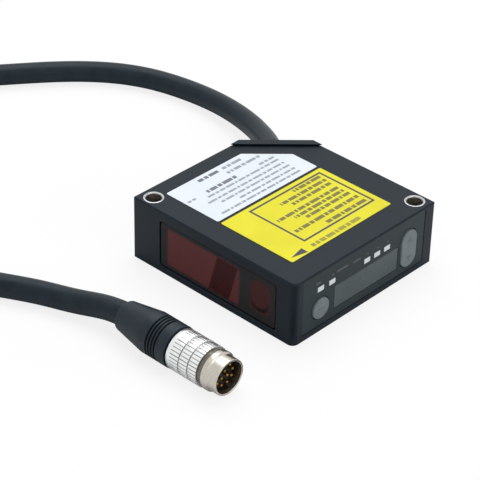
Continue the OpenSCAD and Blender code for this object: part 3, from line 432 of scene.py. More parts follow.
boot = {"front": 17.65, "taper": 27.05, "end": 37.65, "radius": 6.0, "tail": 4.4, "lip": 0.9, "edge": 0.25,
        "bore": 4.4, "cable": 3.4, "step": 24.05, "grooves": 4, "firstGroove": 3.3, "pitch": 1.0,
        "width": 0.5, "depth": 0.5, "soft": 0.8, "rows": 130, "coneRows": 12, "rowGap": 0.4}


def bootProfile(b):
    # outer radius: a cylinder with soft ring grooves, a cone, and a rounded end; then back along the bore
    coneEnd = b["end"] - b["lip"]
    d = np.concatenate([np.linspace(b["front"] + b["edge"], b["taper"] - b["rowGap"], b["rows"]),
                        np.linspace(b["taper"], coneEnd, b["coneRows"])])
    r = np.interp(d, [b["front"], b["taper"], coneEnd], [b["radius"], b["radius"], b["tail"]])
    middle = b["front"] + b["firstGroove"] + b["width"] / 2 + b["pitch"] * np.arange(b["grooves"])
    off = np.abs(d[:, None] - middle).min(1) / (b["width"] / 2)
    sunk = np.clip((1 + b["soft"] / 2 - off) / b["soft"], 0, 1)
    r = r - b["depth"] * smoothStep(sunk)
    start = arcRows(b["front"] + b["edge"], b["radius"] - b["edge"], b["edge"], -90, 0, 5)[:-1]
    end = arcRows(coneEnd, b["tail"] - b["lip"], b["lip"], 0, 90, 7)[1:]
    bore = [(b["end"], b["cable"]), (b["step"], b["cable"]), (b["step"], b["bore"]), (b["front"], b["bore"])]
    rows = np.concatenate([start, np.stack([d, r], 1), end, bore])
    # the grooves are marked, and painted shade darkens them
    mark = np.zeros(len(rows))
    mark[len(start):len(start) + len(d)] = sunk
    return rows, mark


bootFinish = makeFinish("bootFinish", linear(21, 28, 36), linear(28, 37, 46), (0.4, 0.52),
                        coarse=280, fine=3200, Specular_IOR_Level=0.3, Specular_Tint=coolGloss)
# painted shade: the boot's grooves are darkened almost to black
layColour(bootFinish, markMask(bootFinish, "sunk"), linear(5, 5, 7))
plugBoot = dress(turned("plugBoot", *bootProfile(boot)), "sensor", "boot_plastic", bootFinish, "plug_boot")

sleeve = {"front": 6.3, "end": 17.1, "radius": 5.85, "bore": 4.5, "ring": 1.4, "relief": 0.35, "crown": 0.03,
          "ridges": 36, "rows": 3, "gap": 0.3, "turn": 2.5, "edge": 0.12, "slope": 0.12, "foot": 0.9,
          "flank": 0.12}


def sleeveGrid(s):
    # radius = sleeve radius less the relief, raised again on flat-topped ridges that ring grooves cut across
    stop = s["end"] - s["ring"]
    pitch = (stop - s["front"] + s["gap"]) / s["rows"]
    starts = s["front"] + pitch * np.arange(s["rows"])
    near = np.array([0, 0.05, 0.1, 0.15])  # rows that follow the slope at both ends of a ridge
    steps = np.concatenate([near, [pitch / 2], pitch - s["gap"] - near[::-1]])
    ends = [stop + s["slope"] / 2, stop + s["slope"], s["end"] - s["edge"], s["end"]]
    d = np.concatenate([*(a + steps for a in starts), ends])
    along = np.clip(d - s["front"], 0, None) % pitch
    rise = np.where(d < s["front"] + s["slope"], 1, smoothStep(along / s["slope"]))
    fall = np.where(d > starts[-1] + s["slope"], 1, smoothStep((pitch - s["gap"] - along) / s["slope"]))
    onRow = (rise * fall)[:, None]
    onRing = smoothStep((d - stop) / s["slope"])[:, None]
    share = np.array([0, 0.05, 0.08, 0.11, 0.2, 0.35, 0.5, 0.65, 0.8, 0.89, 0.92, 0.95])  # across one ridge
    phase = (np.arange(s["ridges"])[:, None] + share).ravel()
    t = 2 * math.pi * phase / s["ridges"] + math.radians(s["turn"])
    off = 2 * np.abs(phase % 1 - 0.5)
    lift = np.maximum(onRow * smoothStep((s["foot"] - off) / s["flank"]), onRing)
    flat = s["foot"] - s["flank"]
    crown = s["crown"] * (np.minimum(off, flat) / flat) ** 2 * (1 - onRing)
    r = s["radius"] - s["relief"] * (1 - lift) - crown * lift
    r = r - s["edge"] * ((d <= s["front"]) | (d >= s["end"]))[:, None]
    # two more rows lead back along the bore
    rows = np.concatenate([d, [s["end"], s["front"]]])[:, None, None]
    radii = np.concatenate([r, np.full((2, len(t)), s["bore"])])[..., None]
    # the valleys between ridges and the bore are marked for painted shade
    mark = np.concatenate([1 - lift, np.ones((2, len(t)))])
    axis, side = np.array(plug["axis"], float), np.array(plug["side"], float)
    ring = np.cos(t)[:, None] * side + np.sin(t)[:, None] * np.cross(axis, side)
    return (np.array(plug["rim"]) + rows * axis + radii * ring) * mm, mark


sleeveFinish = makeFinish("sleeveNickel", linear(224, 227, 226), linear(242, 244, 243), (0.2, 0.32),
                          coarse=500, fine=900, relief=0.000004, group=turnedGrain, Metallic=1.0)
# painted shade: the sleeve's valleys and bore are a darker grey
layColour(sleeveFinish, markMask(sleeveFinish, "sunk"), linear(172, 174, 173))
grid, mark = sleeveGrid(sleeve)
plugSleeve = solid("plugSleeve", [grid], wrapRows=True, sharp=50.0, marks={"sunk": mark})
dress(plugSleeve, "plug_sleeve", "sleeve_nickel", sleeveFinish, "plug_sleeve")

shell = {"rim": 5.15, "mouth": 4.6, "rimLength": 3.0, "barrel": 5.65, "barrelEnd": 4.9, "collar": 5.35,
         "collarEnd": 6.2, "core": 4.4, "bore": 3.7, "coreEnd": 24.05, "socketEnd": 3.7, "sides": 112,
         "rounds": (0.15, 0.2, 0.25, 0.3, 0.18, 0.1, 0.05, 0.05, 0.1, 0.1, 0.05, 0.05),
         "collarShade": 0.75, "brightLip": 0.2, "slack": 0.02}


def shellProfile(s):
    # rim, shoulder, barrel, collar and core, then back along the bore; the collar and the socket are marked
    # for painted shade
    shoulder = s["rimLength"] + s["barrel"] - s["rim"]
    points = [(0, s["mouth"]), (0, s["rim"]), (s["rimLength"], s["rim"]), (shoulder, s["barrel"]),
              (s["barrelEnd"], s["barrel"]), (s["barrelEnd"], s["collar"]), (s["collarEnd"], s["collar"]),
              (s["collarEnd"], s["core"]), (s["coreEnd"], s["core"]), (s["coreEnd"], s["bore"]),
              (s["socketEnd"], s["bore"]), (s["socketEnd"], s["mouth"])]
    loop = roundedLoop(points, s["rounds"], 5)
    d, r = loop.T
    onCollar = (d > s["barrelEnd"]) & (r <= s["collar"])
    inSocket = (r < s["mouth"] + s["slack"]) & (d > s["brightLip"]) & (d <= s["barrelEnd"])
    return loop, s["collarShade"] * onCollar + 1.0 * inSocket


shellFinish = makeFinish("shellNickel", linear(178, 173, 162), linear(208, 204, 194), (0.2, 0.34),
                         coarse=600, fine=1000, relief=0.000004, group=turnedGrain, Metallic=1.0)
# painted shade: the collar and the inside of the socket are a dark brown
layColour(shellFinish, markMask(shellFinish, "sunk"), linear(48, 33, 22))
plugShell = turned("plugShell", *shellProfile(shell), sides=shell["sides"], sharp=30.0)
dress(plugShell, "sensor", "shell_nickel", shellFinish, "plug_shell")

pins = {"ring": 9, "ringRadius": 2.95, "core": 3, "coreRadius": 1.2, "radius": 0.45, "front": 1.4,
        "end": 11.8, "tip": 0.02, "sides": 14}


def pinGrids(p):
    # each pin is a thin lathe with a rounded tip, on two circles about the connector's axis
    tip = arcRows(p["front"] + p["radius"], 0, p["radius"], -90, 0, 5)[1:]
    profile = np.concatenate([[(p["front"], p["tip"])], tip, [(p["end"], p["radius"])]])
    side, up = np.array(plug["side"], float), np.array([0, 0, 1.0])
    grids = []
    for count, radius in ((p["ring"], p["ringRadius"]), (p["core"], p["coreRadius"])):
        for a in np.arange(count) * 2 * math.pi / count:
            centre = np.array(plug["rim"]) + radius * (math.cos(a) * up + math.sin(a) * side)
            grids.append(latheGrid(profile, centre, plug["axis"], side, p["sides"]))
    return grids


pinFinish = makeFinish("pinGold", linear(122, 92, 42), linear(150, 116, 56), (0.3, 0.42),
                       coarse=700, fine=2000, relief=0.000002, Metallic=1.0)
plugPins = dress(solid("plugPins", pinGrids(pins)), "sensor", "pin_gold", pinFinish, "plug_pins")
insertFinish = makeFinish("insertBlack", linear(10, 9, 8), linear(18, 15, 13), (0.4, 0.6))
nodes["plug_insert"].data.materials[0] = insertFinish
print("connector built")


# moulded pieces keep their solids' form, with every edge broken by a small round

# merge in metres, flat and angle in degrees, and each piece's edge width in mm
moulded = {"merge": 2e-6, "flat": 0.4, "angle": 35, "segments": 2, "weight": 100,
           "housing": 0.12, "cover": 0.1, "display_panel": 0.06}


def softened(node, name, m):
    # the node's mesh with doubles merged and flat faces joined, then bevelled along its sharp edges
    mesh = nodes[node].data.copy()
    mesh.name = name
    work = bmesh.new()
    work.from_mesh(mesh)
    bmesh.ops.remove_doubles(work, verts=work.verts, dist=m["merge"])
    bmesh.ops.dissolve_limit(work, angle_limit=math.radians(m["flat"]), verts=work.verts, edges=work.edges)
    work.to_mesh(mesh)
    work.free()
    mesh.polygons.foreach_set("use_smooth", np.ones(len(mesh.polygons), bool))
    piece = bpy.data.objects.new(name, mesh)
    scene.collection.objects.link(piece)
    bevel = piece.modifiers.new("edges", "BEVEL")
    bevel.width = m[node] * mm
    bevel.segments = m["segments"]
    bevel.limit_method = "ANGLE"
    bevel.angle_limit = math.radians(m["angle"])
    level = piece.modifiers.new("flats", "WEIGHTED_NORMAL")  # large flat faces keep their own direction
    level.weight = m["weight"]
    return piece


bodyFinish = makeFinish("bodyPlastic", linear(14, 22, 30), linear(21, 30, 38), (0.42, 0.52), coarse=220,
                        fine=7000, relief=0.000012, Specular_IOR_Level=0.19, Specular_Tint=coolGloss)
coverFinish = makeFinish("coverPlastic", linear(16, 23, 30), linear(23, 31, 38), (0.45, 0.56), coarse=220,
                         fine=6000, relief=0.000015, Specular_IOR_Level=0.2, Specular_Tint=coolGloss)
panelFinish = makeFinish("panelPlastic", linear(24, 37, 40), linear(31, 45, 48), (0.36, 0.46), coarse=240,
                         fine=7000, relief=0.00001, Specular_IOR_Level=0.19)
for node, name, slot, finish in (("housing", "housingShell", "body_plastic", bodyFinish),
                                 ("cover", "coverPlate", "cover_plastic", coverFinish),
                                 ("display_panel", "displayPanel", "panel_plastic", panelFinish)):
    dress(softened(node, name, moulded), "sensor", slot, finish, node)
print("moulded shells built")


# mounting bushes

bushes = {"places": ((-25.7, -24.7), (25.7, 24.7)), "bore": 2.25, "radius": 2.9, "height": 19.7,
          "bevel": 0.22, "rounds": (0.05, 0.08, 0.08, 0.05, 0.05, 0.05), "slack": 0.03, "sides": 72}


def bushGrids(b):
    # turned ring with a bevel at both ends of its bore and small rounds outside; the bore is marked for
    # painted shade
    c, top, bore = b["bevel"], b["height"], b["bore"]
    points = [(0, bore + c), (0, b["radius"]), (top, b["radius"]), (top, bore + c),
              (top - c, bore), (c, bore)]
    loop = roundedLoop(points, b["rounds"], 3)
    mark = np.repeat((loop[:, 1] < bore + b["slack"]).astype(float), b["sides"])
    grids = [latheGrid(loop, (x, y, 0), (0, 0, 1), (1, 0, 0), b["sides"]) for x, y in b["places"]]
    return grids, np.tile(mark, len(grids))


bushFinish = makeFinish("bushSteel", linear(160, 162, 165), linear(196, 198, 200), (0.24, 0.36),
                        coarse=420, fine=900, relief=0.000004, group=uprightGrain, Metallic=1.0)
# painted shade: the bores are a warm grey
layColour(bushFinish, markMask(bushFinish, "sunk"), linear(188, 183, 177))
grids, mark = bushGrids(bushes)
mountingBushes = solid("mountingBushes", grids, wrapRows=True, sharp=30.0, marks={"sunk": mark})
dress(mountingBushes, "sensor", "bush_steel", bushFinish, "mounting_bushes")
print("bushes built")


# front window: dark plate with two red fields, with painted shade of the slanted block behind one and of the
# hole behind the other

# fields are (x0, x1, z0, z1), and the seen ones end with their corner radius
window = {"field": (-19.2, 23.2, 2.5, 16.5), "face": 28.35, "thick": 1.06, "corner": 0.8, "edge": 0.12,
          "receiver": (-16.6, 10.2, 3.7, 15.3, 0.6), "block": (0.55, 8.05, 3.6, 15.2, 0.3), "lean": 0.27,
          "emitter": (14.2, 21.4, 4.8, 14.8, 2.8), "hole": (14.5, 20.9, 5.3, 11.7, 3.2),
          "holeLight": (14.2, 20.6, 6.4, 12.8, 3.2), "alpha": 0.9}


def platePiece(name, loop, face, low, high, r):
    # plate on a face, from low to high, with its outer edge rounded by r
    return solid(name, [plateGrid(loop, edgeProfile(low, high, r), face)], sharp=30.0)


def clearFields(material, masks, alpha):
    # alpha is lower where either mask is 1
    n, wires = material.node_tree.nodes, material.node_tree.links
    both = n.new("ShaderNodeMath")
    both.operation = "MAXIMUM"
    for mask, socket in zip(masks, both.inputs):
        wires.new(mask, socket)
    clear = n.new("ShaderNodeMapRange")
    clear.inputs["To Min"].default_value = 1.0
    clear.inputs["To Max"].default_value = alpha
    wires.new(both.outputs["Value"], clear.inputs["Value"])
    wires.new(clear.outputs["Result"], n["Principled BSDF"].inputs["Alpha"])


frontWindow = platePiece("frontWindow", boxLoop(*window["field"], window["corner"]), "front",
                         window["face"] - window["thick"], window["face"], window["edge"])
windowFinish = makeFinish("redAcrylic", linear(33, 33, 35), linear(38, 38, 40), (0.1, 0.16),
                          coarse=160, fine=900, relief=0.000002, Specular_IOR_Level=0.08)
masks = {}
# painted shade: the block is the shaded slanted port seen through the long opening, the hole the dark inside
# of the laser's hole, and holeLight lays the red back so that a crescent of painted shadow stays
for field, lean, blur, colour in (
        ("receiver", 0.0, 0.5, (101, 49, 48)), ("block", window["lean"], 0.3, (60, 4, 8)),
        ("emitter", 0.0, 0.5, (72, 32, 32)), ("hole", 0.0, 0.3, (8, 5, 6)),
        ("holeLight", 0.0, 0.4, (72, 32, 32))):  # the last one leaves a dark crescent of the hole
    masks[field] = fieldMask(windowFinish, frontField, window[field], lean, blur)
    layColour(windowFinish, masks[field], linear(*colour))
clearFields(windowFinish, (masks["receiver"], masks["emitter"]), window["alpha"])
dress(frontWindow, "sensor", "red_acrylic", windowFinish, "front_window")
print("front window built")


# display side: filter, indicators and keys

display = {"field": (-12.5, 13.4, 4.63, 11.77), "low": 29.4, "face": 29.86, "corner": 0.25, "edge": 0.08}
displayFilter = platePiece("displayFilter", boxLoop(*display["field"], display["corner"], 4), "side",
                           display["low"], display["face"], display["edge"])
filterFinish = makeFinish("smokeFilter", linear(60, 71, 73), linear(68, 79, 81), (0.22, 0.3),
                          coarse=120, fine=3000, relief=0.000004, Specular_IOR_Level=0.25)
dress(displayFilter, "sensor", "filter_smoke", filterFinish, "display_filter")

indicators = {"y": (-18.1, -13.6, 0.45, 4.55, 8.65), "z": 13.8, "length": 2.5, "height": 1.6, "low": 28.5,
              "face": 29.86, "corner": 0.2, "edge": 0.12, "flange": 0.4, "flangeEnd": 29.0}


def indicatorGrids(i):
    # small plates with rounded corners and edges, and a flange behind the panel
    h, v = i["length"] / 2, i["height"] / 2
    profile = [(0, i["low"]), (-i["flange"], i["low"]), (-i["flange"], i["flangeEnd"]), (0, i["flangeEnd"])]
    profile += edgeProfile(i["low"], i["face"], i["edge"])[footRows:]
    loops = [boxLoop(y - h, y + h, i["z"] - v, i["z"] + v, i["corner"], 4) for y in i["y"]]
    return [plateGrid(loop, profile, "side") for loop in loops]


guideFinish = makeFinish("guideWhite", linear(205, 210, 210), linear(222, 226, 226), (0.28, 0.4),
                         coarse=900, fine=4000, relief=0.000004, Subsurface_Weight=0.1)
indicatorGuides = solid("indicatorGuides", indicatorGrids(indicators), sharp=50.0)
dress(indicatorGuides, "sensor", "indicator_white", guideFinish, "indicator_guides")

# the round key is (y, z, radius), and the rocker (y, z, half width, half height)
keys = {"low": 28.2, "face": 30.35, "edge": 0.35, "round": (-18.1, 7.7, 3.2), "sides": 72, "flange": 3.9,
        "flangeEnd": 28.9, "flangeEdge": 0.1, "flangeFoot": 0.4, "rocker": (17.8, 9.5, 3.2, 5.9),
        "slack": 0.05, "pin": 27.4, "lug": 0.9, "lugWidth": 2.4, "lugBore": 0.55, "lugSides": 48}


def roundKeyGrid(k):
    # turned cap with a flange behind the panel
    y, z, r = k["round"]
    low, top, wide, c = k["low"], k["flangeEnd"], k["flange"], k["flangeEdge"]
    foot = [(low, wide - k["flangeFoot"]), (low, wide - c), (low + c, wide), (top - c, wide),
            (top, wide - c), (top, r)]
    cap = [(h, r - inset) for inset, h in edgeProfile(low, k["face"], k["edge"], 6)[footRows:]]
    return latheGrid(foot + cap, (0, y, z), (1, 0, 0), (0, 1, 0), k["sides"])


def lugGrid(k):
    # eye on the rocker's back: box towards the key, half round about the pin, less the pin's bore
    y, z = k["rocker"][:2]
    t = np.linspace(0, 2 * math.pi, k["lugSides"], endpoint=False)
    c, s = np.cos(t), np.sin(t)
    reach = k["low"] + k["slack"] - k["pin"]
    box = np.minimum(k["lug"] / np.maximum(np.abs(s), 1e-6), reach / np.maximum(c, 1e-6))
    outer, bore = np.where(c > 0, box, k["lug"]), np.full_like(t, k["lugBore"])
    rows = []
    for r, w in ((outer, -0.5), (outer, 0.5), (bore, 0.5), (bore, -0.5)):
        rows.append(np.stack([k["pin"] + r * c, np.full_like(t, y + w * k["lugWidth"]), z + r * s], -1))
    return np.stack(rows) * mm


def rockerLoop(k):
    # upright slot shape, with its end arcs a hair under half round
    y, z, r, h = k["rocker"]
    return boxLoop(y - r, y + r, z - h, z + h, r - k["slack"], 24)


keyFinish = makeFinish("keyGrey", linear(94, 104, 107), linear(106, 116, 120), (0.45, 0.58),
                       coarse=320, fine=6000, relief=0.000012, Specular_IOR_Level=0.35)
roundKey = solid("roundKey", [roundKeyGrid(keys)], sharp=50.0)
dress(roundKey, "round_key", "key_grey", keyFinish, "round_key")
rockerFace = platePiece("rockerFace", rockerLoop(keys), "side", keys["low"], keys["face"], keys["edge"])
rockerLug = solid("rockerLug", [lugGrid(keys)], wrapRows=True)
rockerKey = joined("rockerKey", [rockerFace, rockerLug])
dress(rockerKey, "rocker_key", "key_grey", keyFinish, "rocker_key")
print("display side built")


# labels: plain fields of colour with generic bars

labels = {"low": 19.7, "face": 19.82, "front": -21.1, "back": 18.9, "corner": 0.5, "edge": 0.04,
          "white": (-24.5, -4.8), "cut": 10.4, "yellow": (-3.8, 22.2)}


def cutLoop(b):
    # the white label's outline, with one corner cut off
    x0, x1 = b["white"]
    corners = [(x0, b["front"]), (x1, b["front"]), (x1, b["back"]), (x0 + b["cut"], b["back"]),
               (x0, b["back"] - b["cut"])]
    return roundedLoop(corners, b["corner"], 5)


whiteFinish = makeFinish("labelWhite", linear(222, 230, 238), linear(230, 238, 245), (0.3, 0.42),
                         coarse=90, fine=2500, relief=0.000003)
yellowFinish = makeFinish("labelYellow", linear(224, 215, 20), linear(232, 225, 30), (0.3, 0.42),
                          coarse=90, fine=2500, relief=0.000003, Specular_IOR_Level=0.3)
yellowLoop = boxLoop(*labels["yellow"], labels["front"], labels["back"], labels["corner"], 5)
for name, loop, slot, finish, node in (
        ("whiteLabel", cutLoop(labels), "label_white", whiteFinish, "white_label"),
        ("yellowLabel", yellowLoop, "label_yellow", yellowFinish, "yellow_label")):
    label = platePiece(name, loop, "top", labels["low"], labels["face"], labels["edge"])
    dress(label, "sensor", slot, finish, node)

# lines of print are (x, from, to, height) along Y
prints = {"whiteLines": ((-22.6, 6.4, -1.0, 1.1), (-20.1, 11.4, -1.6, 1.1), (-16.9, 13.9, 8.0, 0.9),
                         (-15.1, 13.9, -14.3, 0.8), (-12.9, 13.9, -16.4, 0.8), (-10.9, 13.9, -13.3, 0.8),
                         (-8.8, 13.9, -8.3, 0.8), (-6.8, 13.9, -17.7, 0.8), (-17.0, -17.2, -20.2, 0.8)),
          "boldLines": ((-22.6, -2.7, -10.5, 1.2), (-17.2, -1.1, -12.7, 1.3)),
          "yellowLines": ((-0.8, 15.4, 4.5, 1.2), (1.4, 15.4, -3.0, 1.2), (3.5, 15.0, -0.5, 1.2),
                          (6.4, 14.8, -9.6, 1.2), (8.4, 14.8, -4.9, 1.2), (10.4, 15.0, -3.0, 1.2),
                          (13.1, 15.4, -9.9, 1.3), (15.9, 15.4, -1.1, 1.3)),
          "lowLine": ((20.6, 7.6, -11.7, 1.4),), "words": (3.6, 1.4, 2.6, 0.9, 3.1, 2.0, 1.2), "gap": 0.45,
          "least": 0.4, "frame": (-2.45, 17.95, -11.7, 17.1), "line": 0.65,
          "wedge": ((19.4, -14.6), (21.8, -14.6), (20.6, -19.8)), "below": 0.03, "above": 0.012}


def inkGrids(outlines, face, level):
    # each outline of corners on a face becomes a thin prism that stands a hair above it
    along, up, out = (np.array(v, float) for v in faceAxes[face])
    p = np.array(outlines, float)[:, None]
    height = np.array([level - prints["below"], level + prints["above"]])[None, :, None, None]
    return list((p[..., :1] * along + p[..., 1:] * up + height * out) * mm)


def barOutlines(bars):
    # corners of (u0, u1, v0, v1) bars
    b = np.array(bars, float)
    return np.stack([b[:, [0, 1, 1, 0]], b[:, [2, 2, 3, 3]]], -1)


def wordBars(lines, p):
    # each line is cut into bars of changing length, and its last bar stops where the line does
    bars = []
    for k, (x, start, stop, height) in enumerate(lines):
        lengths = np.tile(np.roll(p["words"], k), 4)
        high = start - np.concatenate([[0], np.cumsum(lengths + p["gap"])[:-1]])
        low = np.maximum(high - lengths, stop)
        keep = high - low > p["least"]
        bars += [(x - height / 2, x + height / 2, a, b) for a, b in zip(low[keep], high[keep])]
    return barOutlines(bars)


def frameBars(p):
    # four bars round a rectangle
    x0, x1, y0, y1 = p["frame"]
    w = p["line"]
    return barOutlines([(x0, x1, y0, y0 + w), (x0, x1, y1 - w, y1),
                        (x0, x0 + w, y0 + w, y1 - w), (x1 - w, x1, y0 + w, y1 - w)])


def makeInk(name, low, high, rough=(0.45, 0.6), coarse=900):
    return makeFinish(name, low, high, rough, coarse, fine=4000, relief=0.000002)


darkInk = makeInk("printInk", linear(44, 40, 56), linear(58, 53, 70), coarse=700)
greyInk = makeInk("greyPrint", linear(144, 150, 159), linear(162, 168, 177))
boldInk = makeInk("boldPrint", linear(96, 100, 108), linear(116, 120, 128))
oliveInk = makeInk("olivePrint", linear(104, 99, 40), linear(122, 117, 46))
paleInk = makeInk("palePrint", linear(146, 139, 36), linear(162, 155, 42))
for name, outlines, ink, slot in (
        ("whitePrint", wordBars(prints["whiteLines"], prints), greyInk, "label_white"),
        ("whiteBold", wordBars(prints["boldLines"], prints), boldInk, "label_white"),
        ("yellowPrint", wordBars(prints["yellowLines"], prints), oliveInk, "label_yellow"),
        ("yellowLowPrint", wordBars(prints["lowLine"], prints), paleInk, "label_yellow"),
        ("yellowFrame", frameBars(prints), darkInk, "label_yellow"),
        ("yellowWedge", [prints["wedge"]], darkInk, "label_yellow")):
    dress(solid(name, inkGrids(outlines, "top", labels["face"]), sharp=20.0), "sensor", slot, ink)

# faint printed marks by the indicators and on the keys; bars are (y0, y1, z0, z1)
captions = {"level": 29.9,
            "bars": ((-20.1, -18.3, 15.8, 16.3), (-14.0, -13.2, 15.8, 16.3), (-12.0, -7.6, 15.9, 16.5),
                     (-5.4, -2.4, 15.7, 16.2), (0.2, 0.7, 15.7, 16.2), (4.3, 4.8, 15.7, 16.2),
                     (8.4, 8.9, 15.7, 16.2)),
            "triangles": (((16.6, 11.7), (19.0, 11.7), (17.8, 13.6)),
                          ((16.6, 7.3), (17.8, 5.4), (19.0, 7.3))),
            "keyBars": ((-19.4, -16.8, 7.5, 7.9),)}
panelBars = barOutlines(captions["bars"])
captionInk = makeInk("captionPrint", linear(58, 64, 67), linear(68, 74, 77), (0.4, 0.5))
keyInk = makeInk("keyPrint", linear(78, 84, 88), linear(88, 94, 98), (0.45, 0.58))
for name, outlines, level, body, slot, ink in (
        ("panelPrint", panelBars, captions["level"], "sensor", "panel_plastic", captionInk),
        ("rockerPrint", captions["triangles"], keys["face"], "rocker_key", "key_grey", keyInk),
        ("roundKeyPrint", barOutlines(captions["keyBars"]), keys["face"], "round_key", "key_grey", keyInk)):
    dress(solid(name, inkGrids(outlines, "side", level), sharp=20.0), body, slot, ink)
print("labels and prints built")


# cable gland and cover screws

gland = {"base": (-22.0, 20.5, 9.0), "axis": (-0.70711, 0.70711, 0), "bore": 3.4, "neck": 4.8, "flange": 5.6,
         "tail": 4.3, "inner": -3.4, "wall": -2.2, "lip": 1.2, "end": 6.0, "sides": 72,
         "rounds": (0.1, 0.2, 0.2, 0.05, 0.05, 0.2, 0.4, 0.4, 0.2)}


def glandProfile(g):
    # flange inside the wall, neck through it, flange outside, and a cone to the cable
    points = [(g["inner"], g["bore"]), (g["inner"], g["flange"]), (g["wall"], g["flange"]),
              (g["wall"], g["neck"]), (0, g["neck"]), (0, g["flange"]), (g["lip"], g["flange"]),
              (g["end"], g["tail"]), (g["end"], g["bore"])]
    return roundedLoop(points, g["rounds"], 5)


rubberFinish = makeFinish("glandRubber", linear(16, 19, 23), linear(23, 27, 32), (0.5, 0.64),
                          fine=4000, Specular_IOR_Level=0.25)
glandGrid = latheGrid(glandProfile(gland), gland["base"], gland["axis"], (0, 0, 1), gland["sides"])
cableGland = solid("cableGland", [glandGrid], wrapRows=True, sharp=30.0)
dress(cableGland, "sensor", "gland_rubber", rubberFinish, "cable_gland")

screws = {"places": ((25.4, -23.9), (-19.5, -23.9), (-25.4, 9.58), (-11.08, 23.9)), "head": 1.8,
          "headLength": 0.8, "shank": 1.0, "length": 7.0, "tip": 0.2, "edge": 0.06, "arm": 0.26,
          "reach": 1.15, "recess": 0.5, "soft": 0.06, "sides": 96}


def screwGrids(s):
    # rows run from the middle of the head, down its cone and along the shank
    flat = np.array([0.05, 0.2, 0.26, 0.32, 0.6, 0.9, 1.1, 1.2, 1.35, s["head"] - s["edge"]])
    r = np.concatenate([flat, [s["head"], s["shank"], s["shank"], s["shank"] - s["tip"]]])[:, None]
    z = np.concatenate([flat * 0, [s["edge"], s["headLength"], s["length"] - s["tip"], s["length"]]])[:, None]
    t = np.linspace(0, 2 * math.pi, s["sides"], endpoint=False)[None]
    # two crossed arms are sunk into the head's flat, with soft sides
    across = r * np.minimum(np.abs(np.cos(t)), np.abs(np.sin(t)))
    sink = np.clip((s["arm"] - across) / s["soft"] + 0.5, 0, 1)
    sink = sink * np.clip((s["reach"] - r) / s["soft"] + 0.5, 0, 1)
    sink[len(flat):] = 0
    one = np.stack([r * np.cos(t), r * np.sin(t), z + s["recess"] * sink], -1)
    return [(one + np.array([x, y, 0])) * mm for x, y in s["places"]]


steelFinish = makeFinish("screwSteel", linear(150, 152, 156), linear(186, 188, 190), (0.28, 0.4),
                         coarse=500, fine=2500, relief=0.000004, Metallic=1.0)
coverScrews = solid("coverScrews", screwGrids(screws), sharp=35.0)
dress(coverScrews, "sensor", "screw_steel", steelFinish, "cover_screws")
print("gland and screws built")


# what lies inside takes finishes only

castFinish = makeFinish("castAlloy", linear(140, 142, 146), linear(170, 172, 175), (0.4, 0.55),
                        coarse=400, fine=3000, Metallic=1.0)
blackFinish = makeFinish("blackMoulding", linear(16, 16, 17), linear(26, 26, 27), (0.5, 0.66))
boardFinish = makeFinish("boardGreen", linear(18, 74, 42), linear(26, 92, 54), (0.3, 0.45))
chipFinish = makeFinish("chipBlack", linear(24, 24, 26), linear(34, 34, 36), (0.4, 0.55))
greyFinish = makeFinish("switchGrey", linear(66, 67, 70), linear(80, 81, 84), (0.45, 0.6))
filmFinish = makeFinish("flexFilm", linear(150, 92, 22), linear(176, 112, 30), (0.25, 0.4))
diodeFinish = makeFinish("diodeGold", linear(180, 150, 84), linear(206, 176, 104), (0.25, 0.4), Metallic=1.0)
lensFinish = makeFinish("lensGlass", linear(150, 40, 44), linear(170, 52, 54), (0.04, 0.08), relief=0.000001)
finishes = {rubberFinish: ("cover_gasket",), steelFinish: ("board_screws", "rocker_pin", "crimp_ring"),
            castFinish: ("optical_base", "laser_holder"), diodeFinish: ("laser_diode",),
            blackFinish: ("window_mask", "receiver_block", "receiver_retainer", "collimator_retainer"),
            boardFinish: ("laser_board", "sensor_board", "main_board", "display_board"),
            chipFinish: ("image_sensor", "main_chips", "digit_display"),
            greyFinish: ("key_switches", "rocker_bracket"), filmFinish: ("flex_cable",),
            lensFinish: ("collimator_lens", "receiver_lens"), guideFinish: ("indicator_chips",)}
for finish, names in finishes.items():
    for name in names:
        nodes[name].data.materials[0] = finish
print("inner pieces finished")


# the cable ends in the connector

print("cable ends in the connector")


# studio: pale floor, white surround and soft lamps, in metres

studio = {"floor": 4.0, "floorDrop": 0.0001, "veil": 0.82, "world": 0.5,
          "card": (0.0303, 0.065, -0.0455, -0.0295), "cardHeight": 0.0002,
          "keyLamp": {"place": (-0.25, 0.35, 1.1), "size": 1.0, "power": 9.0},
          "fillLamp": {"place": (1.0, 0.1, 0.5), "size": 0.8, "power": 3.0}}


def levelSheet(name, x0, x1, y0, y1, z, finish):
    # one flat rectangle at height z
    mesh = bpy.data.meshes.new(name)
    mesh.from_pydata([(x0, y0, z), (x1, y0, z), (x1, y1, z), (x0, y1, z)], [], [(0, 1, 2, 3)])
    mesh.materials.append(finish)
    sheet = bpy.data.objects.new(name, mesh)
    scene.collection.objects.link(sheet)
    return sheet


def veilFinish(material, veil):
    # what the camera sees is partly plain white, so that the object's shadow stays but is faint
    n, wires = material.node_tree.nodes, material.node_tree.links
    white = n.new("ShaderNodeEmission")
    mix = n.new("ShaderNodeMixShader")
    path = n.new("ShaderNodeLightPath")
    share = n.new("ShaderNodeMath")
    share.operation = "MULTIPLY"
    share.inputs[1].default_value = veil
    wires.new(path.outputs["Is Camera Ray"], share.inputs[0])
    wires.new(share.outputs["Value"], mix.inputs["Fac"])
    wires.new(n["Principled BSDF"].outputs["BSDF"], mix.inputs[1])
    wires.new(white.outputs["Emission"], mix.inputs[2])
    wires.new(mix.outputs["Shader"], n["Material Output"].inputs["Surface"])


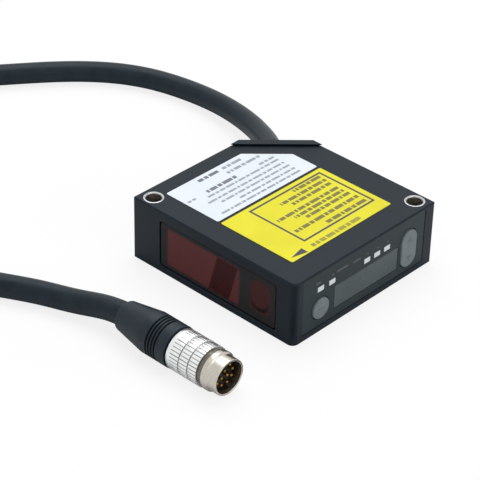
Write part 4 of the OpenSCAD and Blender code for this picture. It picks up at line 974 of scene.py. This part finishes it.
def makeFloor(s):
    h = s["floor"] / 2
    paper = makeFinish("floorPaper", linear(244, 244, 245), linear(250, 250, 251), (0.8, 0.9),
                       coarse=20, fine=400, relief=0.000002)
    veilFinish(paper, s["veil"])
    floor = levelSheet("floor", -h, h, -h, h, 0, paper)
    floor.location.z = -s["floorDrop"]


def makeCard(s):
    # dark card before the near corner, seen by mirror rays alone, gives the round corner its dark line
    black = makeFinish("cardBlack", linear(4, 4, 5), linear(7, 7, 8), (0.8, 0.9),
                       coarse=20, fine=400, relief=0.000002)
    card = levelSheet("card", *s["card"], s["cardHeight"], black)
    for kind in ("camera", "diffuse", "transmission", "shadow", "volume_scatter"):
        setattr(card, "visible_" + kind, False)


def addClamped(tree, sockets):
    # sum of the sockets, held to 1
    total = sockets[0]
    for socket in sockets[1:]:
        add = tree.nodes.new("ShaderNodeMath")
        add.operation = "ADD"
        add.use_clamp = True
        tree.links.new(total, add.inputs[0])
        tree.links.new(socket, add.inputs[1])
        total = add.outputs["Value"]
    return total


def makeWorld(s):
    # strength is 1 where the camera, metal or glass looks at it, and lower where it lights the object
    world = bpy.data.worlds.new("surround")
    scene.world = world
    world.use_nodes = True
    n, wires = world.node_tree.nodes, world.node_tree.links
    background = n["Background"]
    background.inputs["Color"].default_value = (1, 1, 1, 1)
    path = n.new("ShaderNodeLightPath")
    looks = [path.outputs[k] for k in ("Is Camera Ray", "Is Glossy Ray", "Is Transmission Ray")]
    level = n.new("ShaderNodeMapRange")
    level.inputs["To Min"].default_value = s["world"]
    level.inputs["To Max"].default_value = 1.0
    wires.new(addClamped(world.node_tree, looks), level.inputs["Value"])
    wires.new(level.outputs["Result"], background.inputs["Strength"])


def makeLamp(name, s):
    # square lamp that looks at the object
    lamp = bpy.data.objects.new(name, bpy.data.lights.new(name, "AREA"))
    scene.collection.objects.link(lamp)
    lamp.data.shape = "SQUARE"
    lamp.data.size = s["size"]
    lamp.data.energy = s["power"]
    lamp.location = s["place"]
    lamp.rotation_euler = (-Vector(s["place"])).to_track_quat("-Z", "Y").to_euler()


makeFloor(studio)
makeCard(studio)
makeWorld(studio)
for name in ("keyLamp", "fillLamp"):
    makeLamp(name, studio[name])
print("studio lit")
